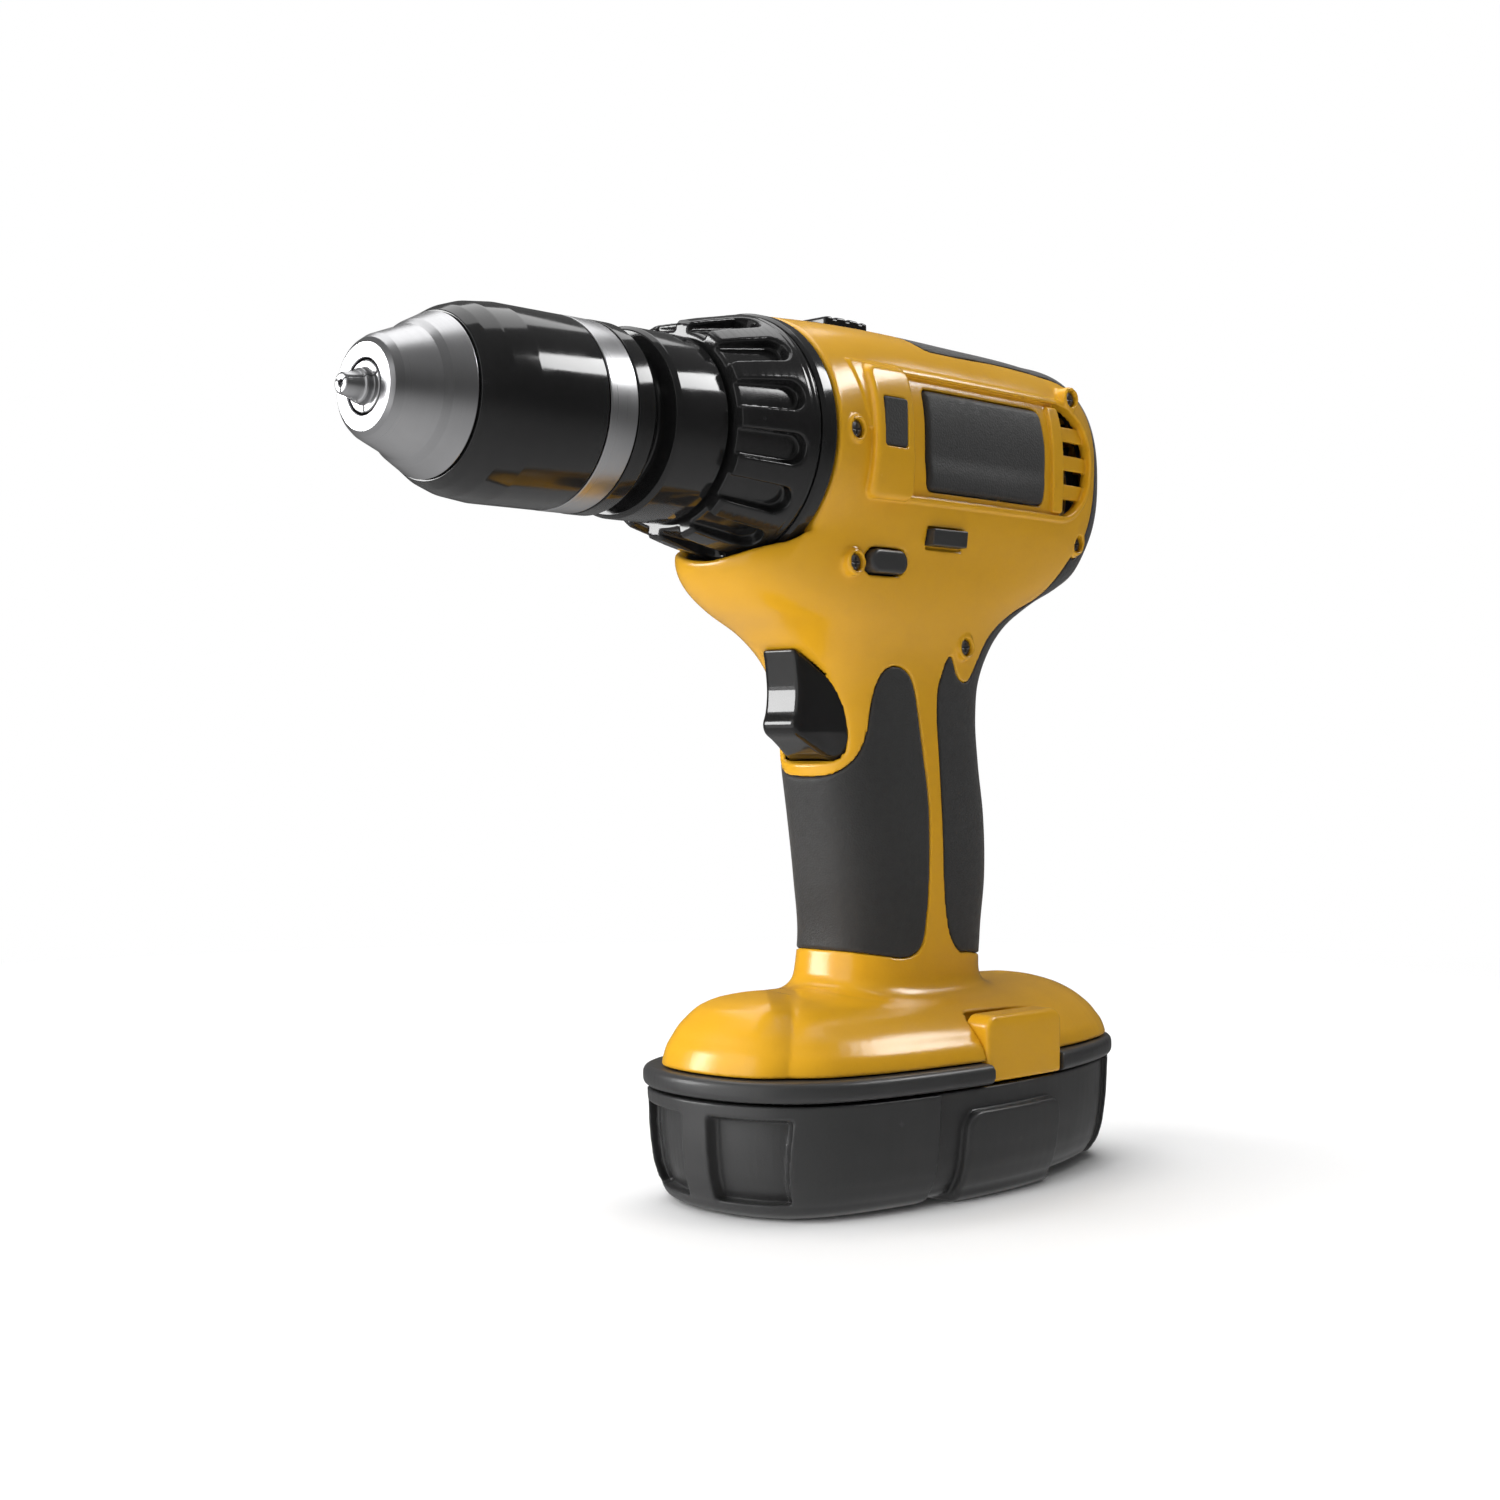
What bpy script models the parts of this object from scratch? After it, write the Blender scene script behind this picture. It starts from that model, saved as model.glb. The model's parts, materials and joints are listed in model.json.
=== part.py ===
"""Cordless drill driver, modelled as its separate pieces.

Lengths are in millimetres and turned into metres when a mesh is made.
+Z is up, the chuck points to -X, and the mirror plane is Y = 0.
The origin is the centre of the battery's underside.
"""
import math

import bmesh
import bpy
from mathutils import Matrix, Vector

MM = 0.001
GAP = 0.3
BODY_POINTS = 20
FOOT_POINTS = 24
ROUND = 24
SMOOTH_ANGLE = math.radians(35.0)

# Driving dimensions. Heights are measured from a datum level above the battery's underside.
DATUM = 3.2
AXIS_Z = 175.4
FLANGE_X = -48.0
FLANGE_R = 29.2
REAR_X = 70.8
WALL = 3.0
RUBBER = 1.5
SPLIT = 0.15
FOOT_Z = 29.3
FOOT_NOSE = 55.0
LID_Z = (24.1, 29.0)
TOWER_TOP_Z = 68.0

# Chuck
SLEEVE_R = 20.9
NOSE_X = -157.0
JAW_TIP_X = -162.5
JAW_BACK_X = -136.0
JAW_R = 3.2
JAW_TIP_OFFSET = 2.0
JAW_ANGLE = math.radians(17.0)
JAW_CLEARANCE = 0.17
JAW_BORE_R = 5.7

# Grip flutes of the clutch ring
FLUTES = 14
FLUTE_PHASE = 11.4

# Planetary stage
MODULE = 0.8
SUN_TEETH = 12
PLANET_TEETH = 15
RING_TEETH = 42
SUN_PITCH_R = MODULE * SUN_TEETH / 2
PLANET_PITCH_R = MODULE * PLANET_TEETH / 2
RING_PITCH_R = MODULE * RING_TEETH / 2
CARRIER_R = SUN_PITCH_R + PLANET_PITCH_R
GEAR_X = (-46.2, -37.6)
SHAFT_R = 2.6

# Trigger and switch
TRIGGER_HALF_WIDTH = 11.4
TRIGGER_BACK_X = -18.5
PLUNGER_Z = 112.0
PLUNGER_R = 2.0
BUTTON_REACH = 26.6

# Motor
CAN_R = 18.5
CAN_X = (-33.0, 28.0)
MAGNET_R = (15.4, 16.6)
SPINDLE_R = 5.4

# Plan of the foot at its lower edge: distance along X and half-width there
FOOT_PLAN = ((-64.7, 0), (-64.2, 6.5), (-62, 14.5), (-57.9, 21.3), (-51.5, 26.0), (-43.5, 29.2), (-33.5, 30.8),
             (-23, 32), (-12, 34.2), (-3, 35.2), (10, 35.2), (22, 34), (32, 32.4), (44.5, 30.2), (58.9, 25.8),
             (68, 19), (73.5, 10), (75.2, 0))
# Plan of the battery's rim, and the levels of its case with how far each is moved in
BATTERY_PLAN = ((-67.2, 0), (-66.6, 8), (-64.2, 16), (-59.7, 23.3), (-52.8, 28.6), (-44, 32.2), (-31, 35),
                (-14, 37), (3, 37.8), (19, 37), (34, 34.6), (48, 31.2), (60, 26.6), (69, 19.6), (74.4, 10.3),
                (76, 0))
CASE_LEVELS = ((-DATUM, 10.2), (-2.2, 7.4), (0.5, 4.8), (4.5, 3.0), (10.0, 1.9), (23.5, 1.0))
CASE_HOLLOW = ((-0.6, 8.6), (5, 5.6), (12, 4.4), (30, 3.6))
TOWER_HALF = (19.5, 10.8)
TOWER_WALL = 2.0
LATCH_X = (-2.0, 27.0)
LATCH_Z = (24.2, 40.0)
LATCH_FACE_Y = 35.4
CELL_R = 9.0
CELL_PITCH = 18.6
CELL_Z = 12.0
CELL_HALF = 26.0
CELLS = 3

# Screws of the housing: x, depth of the side there, z, depth that the shank reaches
HOUSING_SCREWS = ((-42.0, 28.4, 176.2, 22.9), (-37.0, 23.6, 146.6, 0.5), (45.0, 24.0, 193.4, 0.5),
                  (50.4, 22.0, 156.8, 0.5), (9.0, 18.9, 128.7, 0.5))

YELLOW = (0.83, 0.47, 0.03)
RUBBER_GREY = (0.03, 0.03, 0.032)
GLOSS_BLACK = (0.012, 0.012, 0.013)
CASE_GREY = (0.035, 0.036, 0.038)
STEEL = (0.55, 0.55, 0.56)
DARK_STEEL = (0.18, 0.18, 0.19)
BRASS = (0.75, 0.55, 0.25)
COPPER = (0.72, 0.33, 0.16)
MATERIALS = {}


# ---------------------------------------------------------------- helpers

def clear_scene():
    for obj in list(bpy.data.objects):
        bpy.data.objects.remove(obj, do_unlink=True)


def material(name, colour, roughness, metallic=0.0):
    mat = bpy.data.materials.new(name)
    mat.use_nodes = True
    shader = mat.node_tree.nodes["Principled BSDF"]
    shader.inputs["Base Color"].default_value = (*colour, 1.0)
    shader.inputs["Roughness"].default_value = roughness
    shader.inputs["Metallic"].default_value = metallic
    MATERIALS[name] = mat


def make_materials():
    material("yellow_plastic", YELLOW, 0.38)
    material("soft_rubber", RUBBER_GREY, 0.75)
    material("gloss_black", GLOSS_BLACK, 0.15)
    material("case_plastic", CASE_GREY, 0.45)
    material("brushed_steel", STEEL, 0.3, 1.0)
    material("dark_steel", DARK_STEEL, 0.4, 1.0)
    material("brass", BRASS, 0.3, 1.0)
    material("copper", COPPER, 0.35, 1.0)


def finish(name, bm, slot=None):
    """Close a bmesh into an object, with its faces pointing out."""
    bmesh.ops.translate(bm, vec=Vector((0, 0, DATUM)), verts=bm.verts)
    bmesh.ops.scale(bm, vec=Vector((MM, MM, MM)), verts=bm.verts)
    bmesh.ops.recalc_face_normals(bm, faces=bm.faces)
    mesh = bpy.data.meshes.new(name)
    bm.to_mesh(mesh)
    bm.free()
    obj = bpy.data.objects.new(name, mesh)
    bpy.context.scene.collection.objects.link(obj)
    if slot:
        dress(obj, slot)
    return obj


def dress(obj, slot):
    obj.data.materials.clear()
    obj.data.materials.append(MATERIALS[slot])
    obj.data.shade_smooth()
    obj.data.set_sharp_from_angle(angle=SMOOTH_ANGLE)


def boolean(target, cutter, operation, solver="EXACT"):
    """Apply one Boolean and take the cutter away."""
    mod = target.modifiers.new("cut", "BOOLEAN")
    mod.operation = operation
    mod.solver = solver
    mod.object = cutter
    depsgraph = bpy.context.evaluated_depsgraph_get()
    mesh = bpy.data.meshes.new_from_object(target.evaluated_get(depsgraph))
    target.modifiers.clear()
    target.data = mesh
    bpy.data.objects.remove(cutter, do_unlink=True)
    return target


def cut_shell(target, cutter, operation):
    """The moulded skins are thin and nearly tangent in places, where EXACT loses them."""
    return boolean(target, cutter, operation, "MANIFOLD")


def mirrored(obj, name):
    """The same piece on the other side of the mirror plane."""
    copy = obj.copy()
    copy.data = obj.data.copy()
    copy.name = name
    copy.data.transform(Matrix.Scale(-1.0, 4, Vector((0, 1, 0))))
    copy.data.flip_normals()
    bpy.context.scene.collection.objects.link(copy)
    return copy


def superellipse(half_a, half_b, power, count):
    points = []
    for i in range(count):
        angle = 2 * math.pi * i / count
        c, s = math.cos(angle), math.sin(angle)
        a = math.copysign(abs(c) ** (2 / power), c) * half_a
        b = math.copysign(abs(s) ** (2 / power), s) * half_b
        points.append((a, b))
    return points


def loft(rings):
    """Skin between closed rings of equal length, with flat caps."""
    bm = bmesh.new()
    made = [[bm.verts.new(p) for p in ring] for ring in rings]
    count = len(made[0])
    for low, high in zip(made, made[1:]):
        for i in range(count):
            j = (i + 1) % count
            bm.faces.new((low[i], low[j], high[j], high[i]))
    bm.faces.new(made[0])
    bm.faces.new(list(reversed(made[-1])))
    bmesh.ops.recalc_face_normals(bm, faces=bm.faces)
    return bm


def swell(bm, offset):
    """Move the skin along its normals."""
    if offset:
        bm.normal_update()
        moves = [(v, v.normal * offset) for v in bm.verts]
        for vert, move in moves:
            vert.co += move
    return bm


def revolve(name, profile, slot=None, segments=ROUND, axis_z=AXIS_Z):
    """Turn (x, radius) points about the drill's axis; a point at radius 0 closes on it."""
    bm = bmesh.new()
    rings = []
    for x, radius in profile:
        if radius == 0:
            rings.append([bm.verts.new((x, 0, axis_z))])
            continue
        rings.append([bm.verts.new((x, radius * math.cos(a), axis_z + radius * math.sin(a)))
                      for a in (2 * math.pi * i / segments for i in range(segments))])
    closed = profile[0][1] > 0
    pairs = list(zip(rings, rings[1:]))
    if closed:
        pairs.append((rings[-1], rings[0]))
    for first, second in pairs:
        for i in range(segments):
            j = (i + 1) % segments
            corners = [first[i % len(first)], first[j % len(first)],
                       second[j % len(second)], second[i % len(second)]]
            bm.faces.new(list(dict.fromkeys(corners)))
    return finish(name, bm, slot)


def ring_profile(x0, x1, inner, outer):
    return [(x0, inner), (x0, outer), (x1, outer), (x1, inner)]


def disc_profile(x0, x1, radius):
    return [(x0, 0), (x0, radius), (x1, radius), (x1, 0)]


def prism_x(name, outline, x0, x1, slot=None):
    """Extrude a (y, z) outline about the drill's axis from x0 to x1."""
    rings = [[(x, y, AXIS_Z + z) for y, z in outline] for x in (x0, x1)]
    return finish(name, loft(rings), slot)


def prism_y(name, outline, y0, y1, slot=None):
    """Extrude an (x, z) outline from y0 to y1."""
    rings = [[(x, y, z) for x, z in outline] for y in (y0, y1)]
    return finish(name, loft(rings), slot)


def box(name, low, high, slot=None):
    outline = [(low[0], low[2]), (high[0], low[2]), (high[0], high[2]), (low[0], high[2])]
    return prism_y(name, outline, low[1], high[1], slot)


def rounded_outline(x0, x1, z0, z1, radius, steps=3):
    """A rectangle with round corners, as (x, z) points."""
    points = []
    corners = ((x1, z1, 0), (x0, z1, 90), (x0, z0, 180), (x1, z0, 270))
    for x, z, start in corners:
        cx = x - math.copysign(radius, x - (x0 + x1) / 2)
        cz = z - math.copysign(radius, z - (z0 + z1) / 2)
        for i in range(steps + 1):
            angle = math.radians(start + 90 * i / steps)
            points.append((cx + radius * math.cos(angle), cz + radius * math.sin(angle)))
    return points


def smooth_outline(points, steps=2):
    """A closed Catmull-Rom curve through the points."""
    result = []
    count = len(points)
    for i in range(count):
        p0, p1, p2, p3 = (Vector((*points[(i + k - 1) % count], 0)) for k in range(4))
        for s in range(steps):
            t = s / steps
            p = 0.5 * ((2 * p1) + (p2 - p0) * t + (2 * p0 - 5 * p1 + 4 * p2 - p3) * t * t
                       + (3 * p1 - p0 - 3 * p2 + p3) * t ** 3)
            result.append((p.x, p.y))
    return result


def coil(name, x0, x1, mean_r, wire_r, turns, slot, axis_z=AXIS_Z, per_turn=10, sides=4):
    """A round-wire helix along X with flat ends."""
    rings = []
    total = int(turns * per_turn)
    for i in range(total + 1):
        angle = 2 * math.pi * turns * i / total
        out = Vector((0, math.cos(angle), math.sin(angle)))
        centre = Vector((x0 + (x1 - x0) * i / total, 0, axis_z)) + out * mean_r
        ring = []
        for k in range(sides):
            a = 2 * math.pi * k / sides
            ring.append(centre + out * wire_r * math.cos(a) + Vector((wire_r * math.sin(a), 0, 0)))
        rings.append(ring)
    return finish(name, loft(rings), slot)


def gear_outline(teeth, pitch_r, tip, root, phase=0.0, fill=0.40):
    """Tooth points about the centre; fill is the tooth's share of the pitch at the pitch circle."""
    points = []
    pitch = 2 * math.pi / teeth
    for i in range(teeth):
        centre = phase + i * pitch
        for radius, share in ((root, fill + 0.16), (tip, fill - 0.18)):
            points.append((radius, centre - pitch * share / 2))
        for radius, share in ((tip, fill - 0.18), (root, fill + 0.16)):
            points.append((radius, centre + pitch * share / 2))
    return [(r * math.cos(a), r * math.sin(a)) for r, a in points]


# ---------------------------------------------------------------- body shape

def barrel(offset=0.0):
    """The motor barrel: x, half-width, top, bottom, squareness."""
    stations = ((-60, 29.2, 204.6, 146.2, 2.0), (-47, 29.3, 204.7, 146.1, 2.0),
                (-38, 28.6, 205.0, 145.6, 2.2), (-20, 27.6, 205.2, 145.2, 2.5),
                (10, 27.2, 204.8, 145.4, 2.6), (40, 26.8, 204.2, 145.4, 2.5),
                (53, 25.2, 202.8, 145.8, 2.4), (62, 22.4, 199.8, 147.8, 2.3),
                (68, 18.0, 194.6, 152.4, 2.2), (REAR_X, 10.0, 187.0, 160.5, 2.0))
    rings = []
    for x, half, top, bottom, power in stations:
        mid = (top + bottom) / 2
        rings.append([(x, y, mid + z)
                      for y, z in superellipse(half, (top - bottom) / 2, power, BODY_POINTS)])
    return finish("barrel", swell(loft(rings), offset))


def column(offset=0.0):
    """Handle and chin: z, front, rear, half-width, squareness."""
    stations = ((30, -28, 32, 21, 2.6), (40, -26, 29.5, 18.5, 2.7), (47, -24, 27.5, 17.0, 2.8),
                (57, -22.5, 28.0, 16.6, 2.8), (72, -24.0, 30.0, 16.8, 2.8),
                (87, -26.2, 29.5, 17.0, 2.8), (100, -28.4, 27.4, 17.0, 2.8),
                (112, -29.8, 26.2, 17.2, 2.8), (121, -32.5, 27.2, 17.8, 2.8),
                (127, -37.5, 30.0, 18.8, 2.8), (131.5, -43.5, 33.0, 20.2, 2.8),
                (136, -52.5, 38.0, 21.8, 2.8), (140, -58.0, 44.5, 23.0, 2.9),
                (145, -61.5, 54.0, 24.2, 3.0), (150, -61.0, 60.0, 25.2, 3.1),
                (156, -54.0, 60.0, 26.0, 3.2), (168, -48.2, 54.0, 25.6, 3.2))
    rings = []
    for z, front, rear, half, power in stations:
        mid = (front + rear) / 2
        rings.append([(mid + x, y, z)
                      for x, y in superellipse((rear - front) / 2, half, power, BODY_POINTS)])
    return finish("column", swell(loft(rings), offset))


def plan_ring(plan, z, inset, count=FOOT_POINTS):
    """A level of the foot or battery: its plan, moved in by the inset."""
    outline = list(plan) + [(x, -y) for x, y in reversed(plan[1:-1])]
    outline = shrink(smooth_outline(outline, 4), inset)
    step = len(outline) / count
    return [(*outline[int(i * step)], z) for i in range(count)]


def foot(offset=0.0):
    levels = ((20, 0.0, 0), (FOOT_Z, 0.0, 0), (31.5, 0.9, 0.4), (35, 3.2, 1.2), (38.5, 6.8, 2.0),
              (41.5, 11.5, 2.6), (43.5, 17.5, 3.0))
    rings = []
    for z, inset, rise in levels:
        ring = plan_ring(FOOT_PLAN, z, inset)
        rings.append([(x, y, level + rise * max(0.0, -x) / FOOT_NOSE) for x, y, level in ring])
    return finish("foot", swell(loft(rings), offset))


def body_solid(name, offset=0.0, clipped=True):
    """Barrel, handle and foot as one solid, moved out by the offset."""
    solid = cut_shell(barrel(offset), column(offset), "UNION")
    cut_shell(solid, foot(offset), "UNION")
    if clipped:
        cut_shell(solid, revolve("front", disc_profile(-90, FLANGE_X, FLANGE_R + 0.7)), "DIFFERENCE")
        cut_shell(solid, box("under", (-120, -70, 0), (120, 70, FOOT_Z)), "DIFFERENCE")
    solid.name = name
    return solid


def left_half():
    return box("half", (-120, -70, 0), (120, -SPLIT, 240))


# ---------------------------------------------------------------- regions of the side, as (x, z)

def front_grip_region():
    return smooth_outline([(-60, 56), (-36, 56.8), (-25.4, 55.6), (-16, 54.0), (-9, 53.2), (-4.2, 55.5),
                           (-2.4, 61), (-1.5, 73), (-1.9, 90), (-4.3, 103.5), (-6.8, 114.5),
                           (-9.6, 120.8), (-14.4, 123.2), (-18.0, 121.3), (-19.2, 116.0),
                           (-18.4, 108.0), (-19.2, 101.5), (-23.6, 96.4), (-32, 93.8), (-60, 92.5)])


def rear_grip_region():
    return smooth_outline([(14.5, 53.2), (10.1, 54.0), (7.0, 57.2), (5.3, 62.4), (4.2, 70), (3.4, 84),
                           (2.0, 101.5), (0.8, 113), (1.2, 120), (4.4, 126.6), (8.5, 121.5),
                           (13.5, 120.5), (17.5, 126), (21, 132.5), (30, 138.5), (41, 143),
                           (48, 148.5), (53.5, 156), (56.6, 166), (57.0, 177), (54.5, 186.5),
                           (49.5, 193.5), (42, 197.0), (22, 198.0), (6, 198.6), (6, 215), (60, 220),
                           (95, 200), (95, 140), (60, 110), (45, 80), (40, 53)])


def trigger_region():
    """The D-shaped opening for the trigger."""
    return smooth_outline([(-60, 99.6), (-44, 99.8), (-31, 100.2), (-26.4, 102.3), (-24.9, 107.5),
                           (-26.0, 114.5), (-30.6, 121), (-36.4, 125.2), (-44, 127.2), (-60, 127.6)])


def trigger_slot():
    """The way the trigger slides in, through the front wall."""
    half = TRIGGER_HALF_WIDTH + GAP
    return box("trigger_slot", (-60, -half, 99.3), (-15, half, 127.0))


def vent_outlines():
    """Four slots of a D-shaped side vent, front to back along X."""
    slots = []
    for i in range(4):
        z0 = 164.0 + i * 6.8
        depth = 12.5 - 0.9 * abs(i - 1.5) ** 2
        slots.append(rounded_outline(38.6, 38.6 + depth, z0, z0 + 4.4, 1.0, 2))
    return slots


# ---------------------------------------------------------------- housing

def screw_boss(x, depth, z):
    return cylinder_y("boss", x, z, 4.0, -depth - 1.2, -SPLIT, 14)


def cylinder_y(name, x, z, radius, y0, y1, segments=24, slot=None):
    outline = [(x + radius * math.cos(a), z + radius * math.sin(a))
               for a in (2 * math.pi * i / segments for i in range(segments))]
    return prism_y(name, outline, y0, y1, slot)


def cavity():
    """The hollow inside: motor tube, handle and battery well."""
    tube = revolve("cavity", [(-80, 0), (-80, 23.2), (-30, 23.5), (52, 23.5), (66, 18.0), (71, 9.0), (71, 0)],
                   segments=20)
    levels = ((24, -19.5, 24.0, 13.2), (56, -19.3, 24.6, 13.2), (100, -25.0, 24.0, 13.8),
              (124, -28.0, 24.4, 14.4), (138, -41.0, 36.0, 18.0), (162, -44.0, 52.0, 20.0))
    well = [[((front + rear) / 2 + x, y, z)
             for x, y in superellipse((rear - front) / 2, half, 3.0, 16)]
            for z, front, rear, half in levels]
    cut_shell(tube, finish("well", loft(well)), "UNION")
    under = [plan_ring(FOOT_PLAN, z, inset, 20) for z, inset in ((20, 3.6), (31, 4.6), (35, 9.0), (39, 15.0))]
    cut_shell(tube, finish("under", loft(under)), "UNION")
    return tube


def shell_half(with_screws):
    """One moulded half: skin, cavity, recesses, vents and openings."""
    shell = body_solid("shell")
    block = cut_shell(body_solid("raised", 1.3), prism_y("region", rounded_outline(
        -37.4, -22.4, 161.0, 191.4, 1.6), -70, 0), "INTERSECT")
    cut_shell(shell, block, "UNION")
    cut_shell(shell, box("selector_slot", (-34.03, -7.23, 201.3), (0.57, 7.23, 230)), "DIFFERENCE")
    cut_shell(shell, left_half(), "INTERSECT")
    if with_screws:
        for x, depth, z, _ in HOUSING_SCREWS:
            cut_shell(shell, screw_boss(x, depth, z), "UNION")
    cut_shell(shell, cavity(), "DIFFERENCE")
    for region in (front_grip_region(), rear_grip_region(), pad_outline(GAP)):
        recess = prism_y("recess", region, -70, 0)
        cut_shell(recess, body_solid("floor", -RUBBER, clipped=False), "DIFFERENCE")
        cut_shell(shell, recess, "DIFFERENCE")
    cut_shell(shell, prism_y("mouth", trigger_region(), -70, 0), "DIFFERENCE")
    cut_shell(shell, trigger_slot(), "DIFFERENCE")
    for outline in vent_outlines():
        cut_shell(shell, prism_y("slot", outline, -70, -14), "DIFFERENCE")
    cut_shell(shell, prism_y("pill", rounded_outline(-33.4, -19.4, 144.1, 150.5, 3.1), -70, 0), "DIFFERENCE")
    cut_shell(shell, box("latch_pocket", (LATCH_X[0] - 0.5, -60, 20), (LATCH_X[1] + 0.5, -27.8, 40.5)),
            "DIFFERENCE")
    cut_shell(shell, box("lug_pocket", (-13.9, -60, 151.2), (-0.3, -24.6, 156.4)), "DIFFERENCE")
    cut_shell(shell, box("inlay_pocket", (-33.5, -60, 173.6), (-24.1, -26.6, 184.6)), "DIFFERENCE")
    if with_screws:
        for x, depth, z, _ in HOUSING_SCREWS:
            cut_shell(shell, cylinder_y("hole", x, z, 2.6, -60, -depth + 2.4, 14), "DIFFERENCE")
            cut_shell(shell, cylinder_y("bore", x, z, 1.5, -60, 5, 10), "DIFFERENCE")
    return shell


def pad_outline(grow=0.0):
    return rounded_outline(-14.7 - grow, 30.8 + grow, 163.4 - grow, 188.4 + grow, 2.5)


def housing():
    left = shell_half(True)
    left.name = "housing_left"
    dress(left, "yellow_plastic")
    right = mirrored(shell_half(False), "housing_right")
    bpy.data.objects.remove(bpy.data.objects["shell"], do_unlink=True)
    dress(right, "yellow_plastic")


def overmould(name, region):
    """A rubber skin that fills its recess, one on each side."""
    skin = body_solid("skin", 0.0)
    cut_shell(skin, left_half(), "INTERSECT")
    cut_shell(skin, prism_y("region", region, -70, 0), "INTERSECT")
    cut_shell(skin, body_solid("floor", -RUBBER + GAP, clipped=False), "DIFFERENCE")
    skin.name = name + "_left"
    dress(skin, "soft_rubber")
    mirrored(skin, name + "_right")


def shrink(region, amount):
    """Pull an outline inwards along its own normals."""
    count = len(region)
    area = sum(region[i][0] * region[(i + 1) % count][1] - region[(i + 1) % count][0] * region[i][1]
               for i in range(count))
    side = math.copysign(1.0, area)
    result = []
    for i, (x, z) in enumerate(region):
        before, after = region[i - 1], region[(i + 1) % count]
        dx, dz = after[0] - before[0], after[1] - before[1]
        length = math.hypot(dx, dz)
        result.append((x - side * dz / length * amount, z + side * dx / length * amount))
    return result


def side_trim():
    """Small inlays of the sides."""
    overmould("front_grip", shrink(front_grip_region(), GAP))
    overmould("rear_grip", shrink(rear_grip_region(), GAP))
    overmould("side_pad", pad_outline())
    box("side_lug", (-13.6, -28.6, 151.5), (-0.6, -24.9, 156.1), "case_plastic")
    box("side_inlay", (-33.2, -29.2, 173.9), (-24.4, -26.9, 184.3), "case_plastic")


def housing_screws():
    for number, (x, depth, z, reach) in enumerate(HOUSING_SCREWS, 1):
        head = cylinder_y("housing_screw_%d" % number, x, z, 2.3, -depth - 0.6, -depth + 2.1, 14)
        boolean(head, cylinder_y("shank", x, z, 1.2, -depth + 1.5, -reach, 10), "UNION")
        for half_x, half_z in ((1.5, 0.35), (0.35, 1.5)):
            slot = box("slot", (x - half_x, -depth - 2, z - half_z), (x + half_x, -depth + 0.4, z + half_z))
            boolean(head, slot, "DIFFERENCE")
        dress(head, "dark_steel")


# ---------------------------------------------------------------- chuck

def jaw_channel(name, angle, radius, x0, x1):
    """A round bar sheared outwards towards the back, in constant-x sections."""
    rings = []
    for x in (x0, x1):
        out = JAW_TIP_OFFSET + (x - JAW_TIP_X) * math.tan(JAW_ANGLE)
        cy, cz = out * math.cos(angle), out * math.sin(angle)
        rings.append([(x, cy + radius * math.cos(a), AXIS_Z + cz + radius * math.sin(a))
                      for a in (2 * math.pi * i / 14 for i in range(14))])
    return finish(name, loft(rings))


def chuck_body():
    body = revolve("chuck_body", [(NOSE_X, JAW_BORE_R), (NOSE_X, 8.9), (-156.4, 10.0), (-155.0, 10.8),
                                  (-148.5, 13.4), (-145.5, 14.9), (-141.5, 17.1), (-141.2, 16.2),
                                  (-106.0, 16.2), (-106.0, 12.0), (-95.8, 12.0), (-95.8, JAW_BORE_R)])
    for i in range(3):
        angle = math.pi / 2 + i * 2 * math.pi / 3
        boolean(body, jaw_channel("channel", angle, JAW_R + GAP, NOSE_X + 1.0, -113.0), "DIFFERENCE")
    dress(body, "brushed_steel")


def chuck_jaws():
    for i in range(3):
        angle = math.pi / 2 + i * 2 * math.pi / 3
        jaw = jaw_channel("jaw_%d" % (i + 1), angle, JAW_R, JAW_TIP_X, JAW_BACK_X)
        pin = revolve("pin", [(JAW_TIP_X, 0), (JAW_TIP_X, 1.8), (-159.8, 1.9), (-159.4, 3.4),
                              (-155.6, 3.4), (-155.6, 22), (JAW_BACK_X, 22), (JAW_BACK_X, 0)], segments=30)
        boolean(jaw, pin, "INTERSECT")
        boolean(jaw, prism_x("wedge", jaw_wedge(angle), JAW_TIP_X - 1, JAW_BACK_X + 1), "INTERSECT")
        dress(jaw, "brushed_steel")


def jaw_wedge(angle):
    """A third of the circle, just clear of the two other jaws."""
    corner = (JAW_CLEARANCE * math.cos(angle), JAW_CLEARANCE * math.sin(angle))
    reach = 2 * SLEEVE_R
    return [corner] + [(corner[0] + reach * math.cos(angle + a), corner[1] + reach * math.sin(angle + a))
                       for a in (-math.pi / 3, math.pi / 3)]


def chuck():
    chuck_body()
    chuck_jaws()
    revolve("chuck_sleeve", [(-140.9, 16.5), (-140.9, 17.4), (-138.6, 18.8), (-135.5, 19.9), (-132, 20.6),
                             (-128, SLEEVE_R), (-109.9, SLEEVE_R), (-109.9, 18.6), (-133, 18.6),
                             (-133, 16.5)], "gloss_black")
    revolve("sleeve_band", ring_profile(-109.6, -101.9, 18.9, 20.95), "brushed_steel")
    revolve("jaw_nut", ring_profile(-118.8, -111.5, 16.5, 18.3), "dark_steel")
    revolve("chuck_rear_ring", ring_profile(-101.6, -96.0, 12.3, 21.05), "gloss_black")


# ---------------------------------------------------------------- clutch and gearbox

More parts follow.
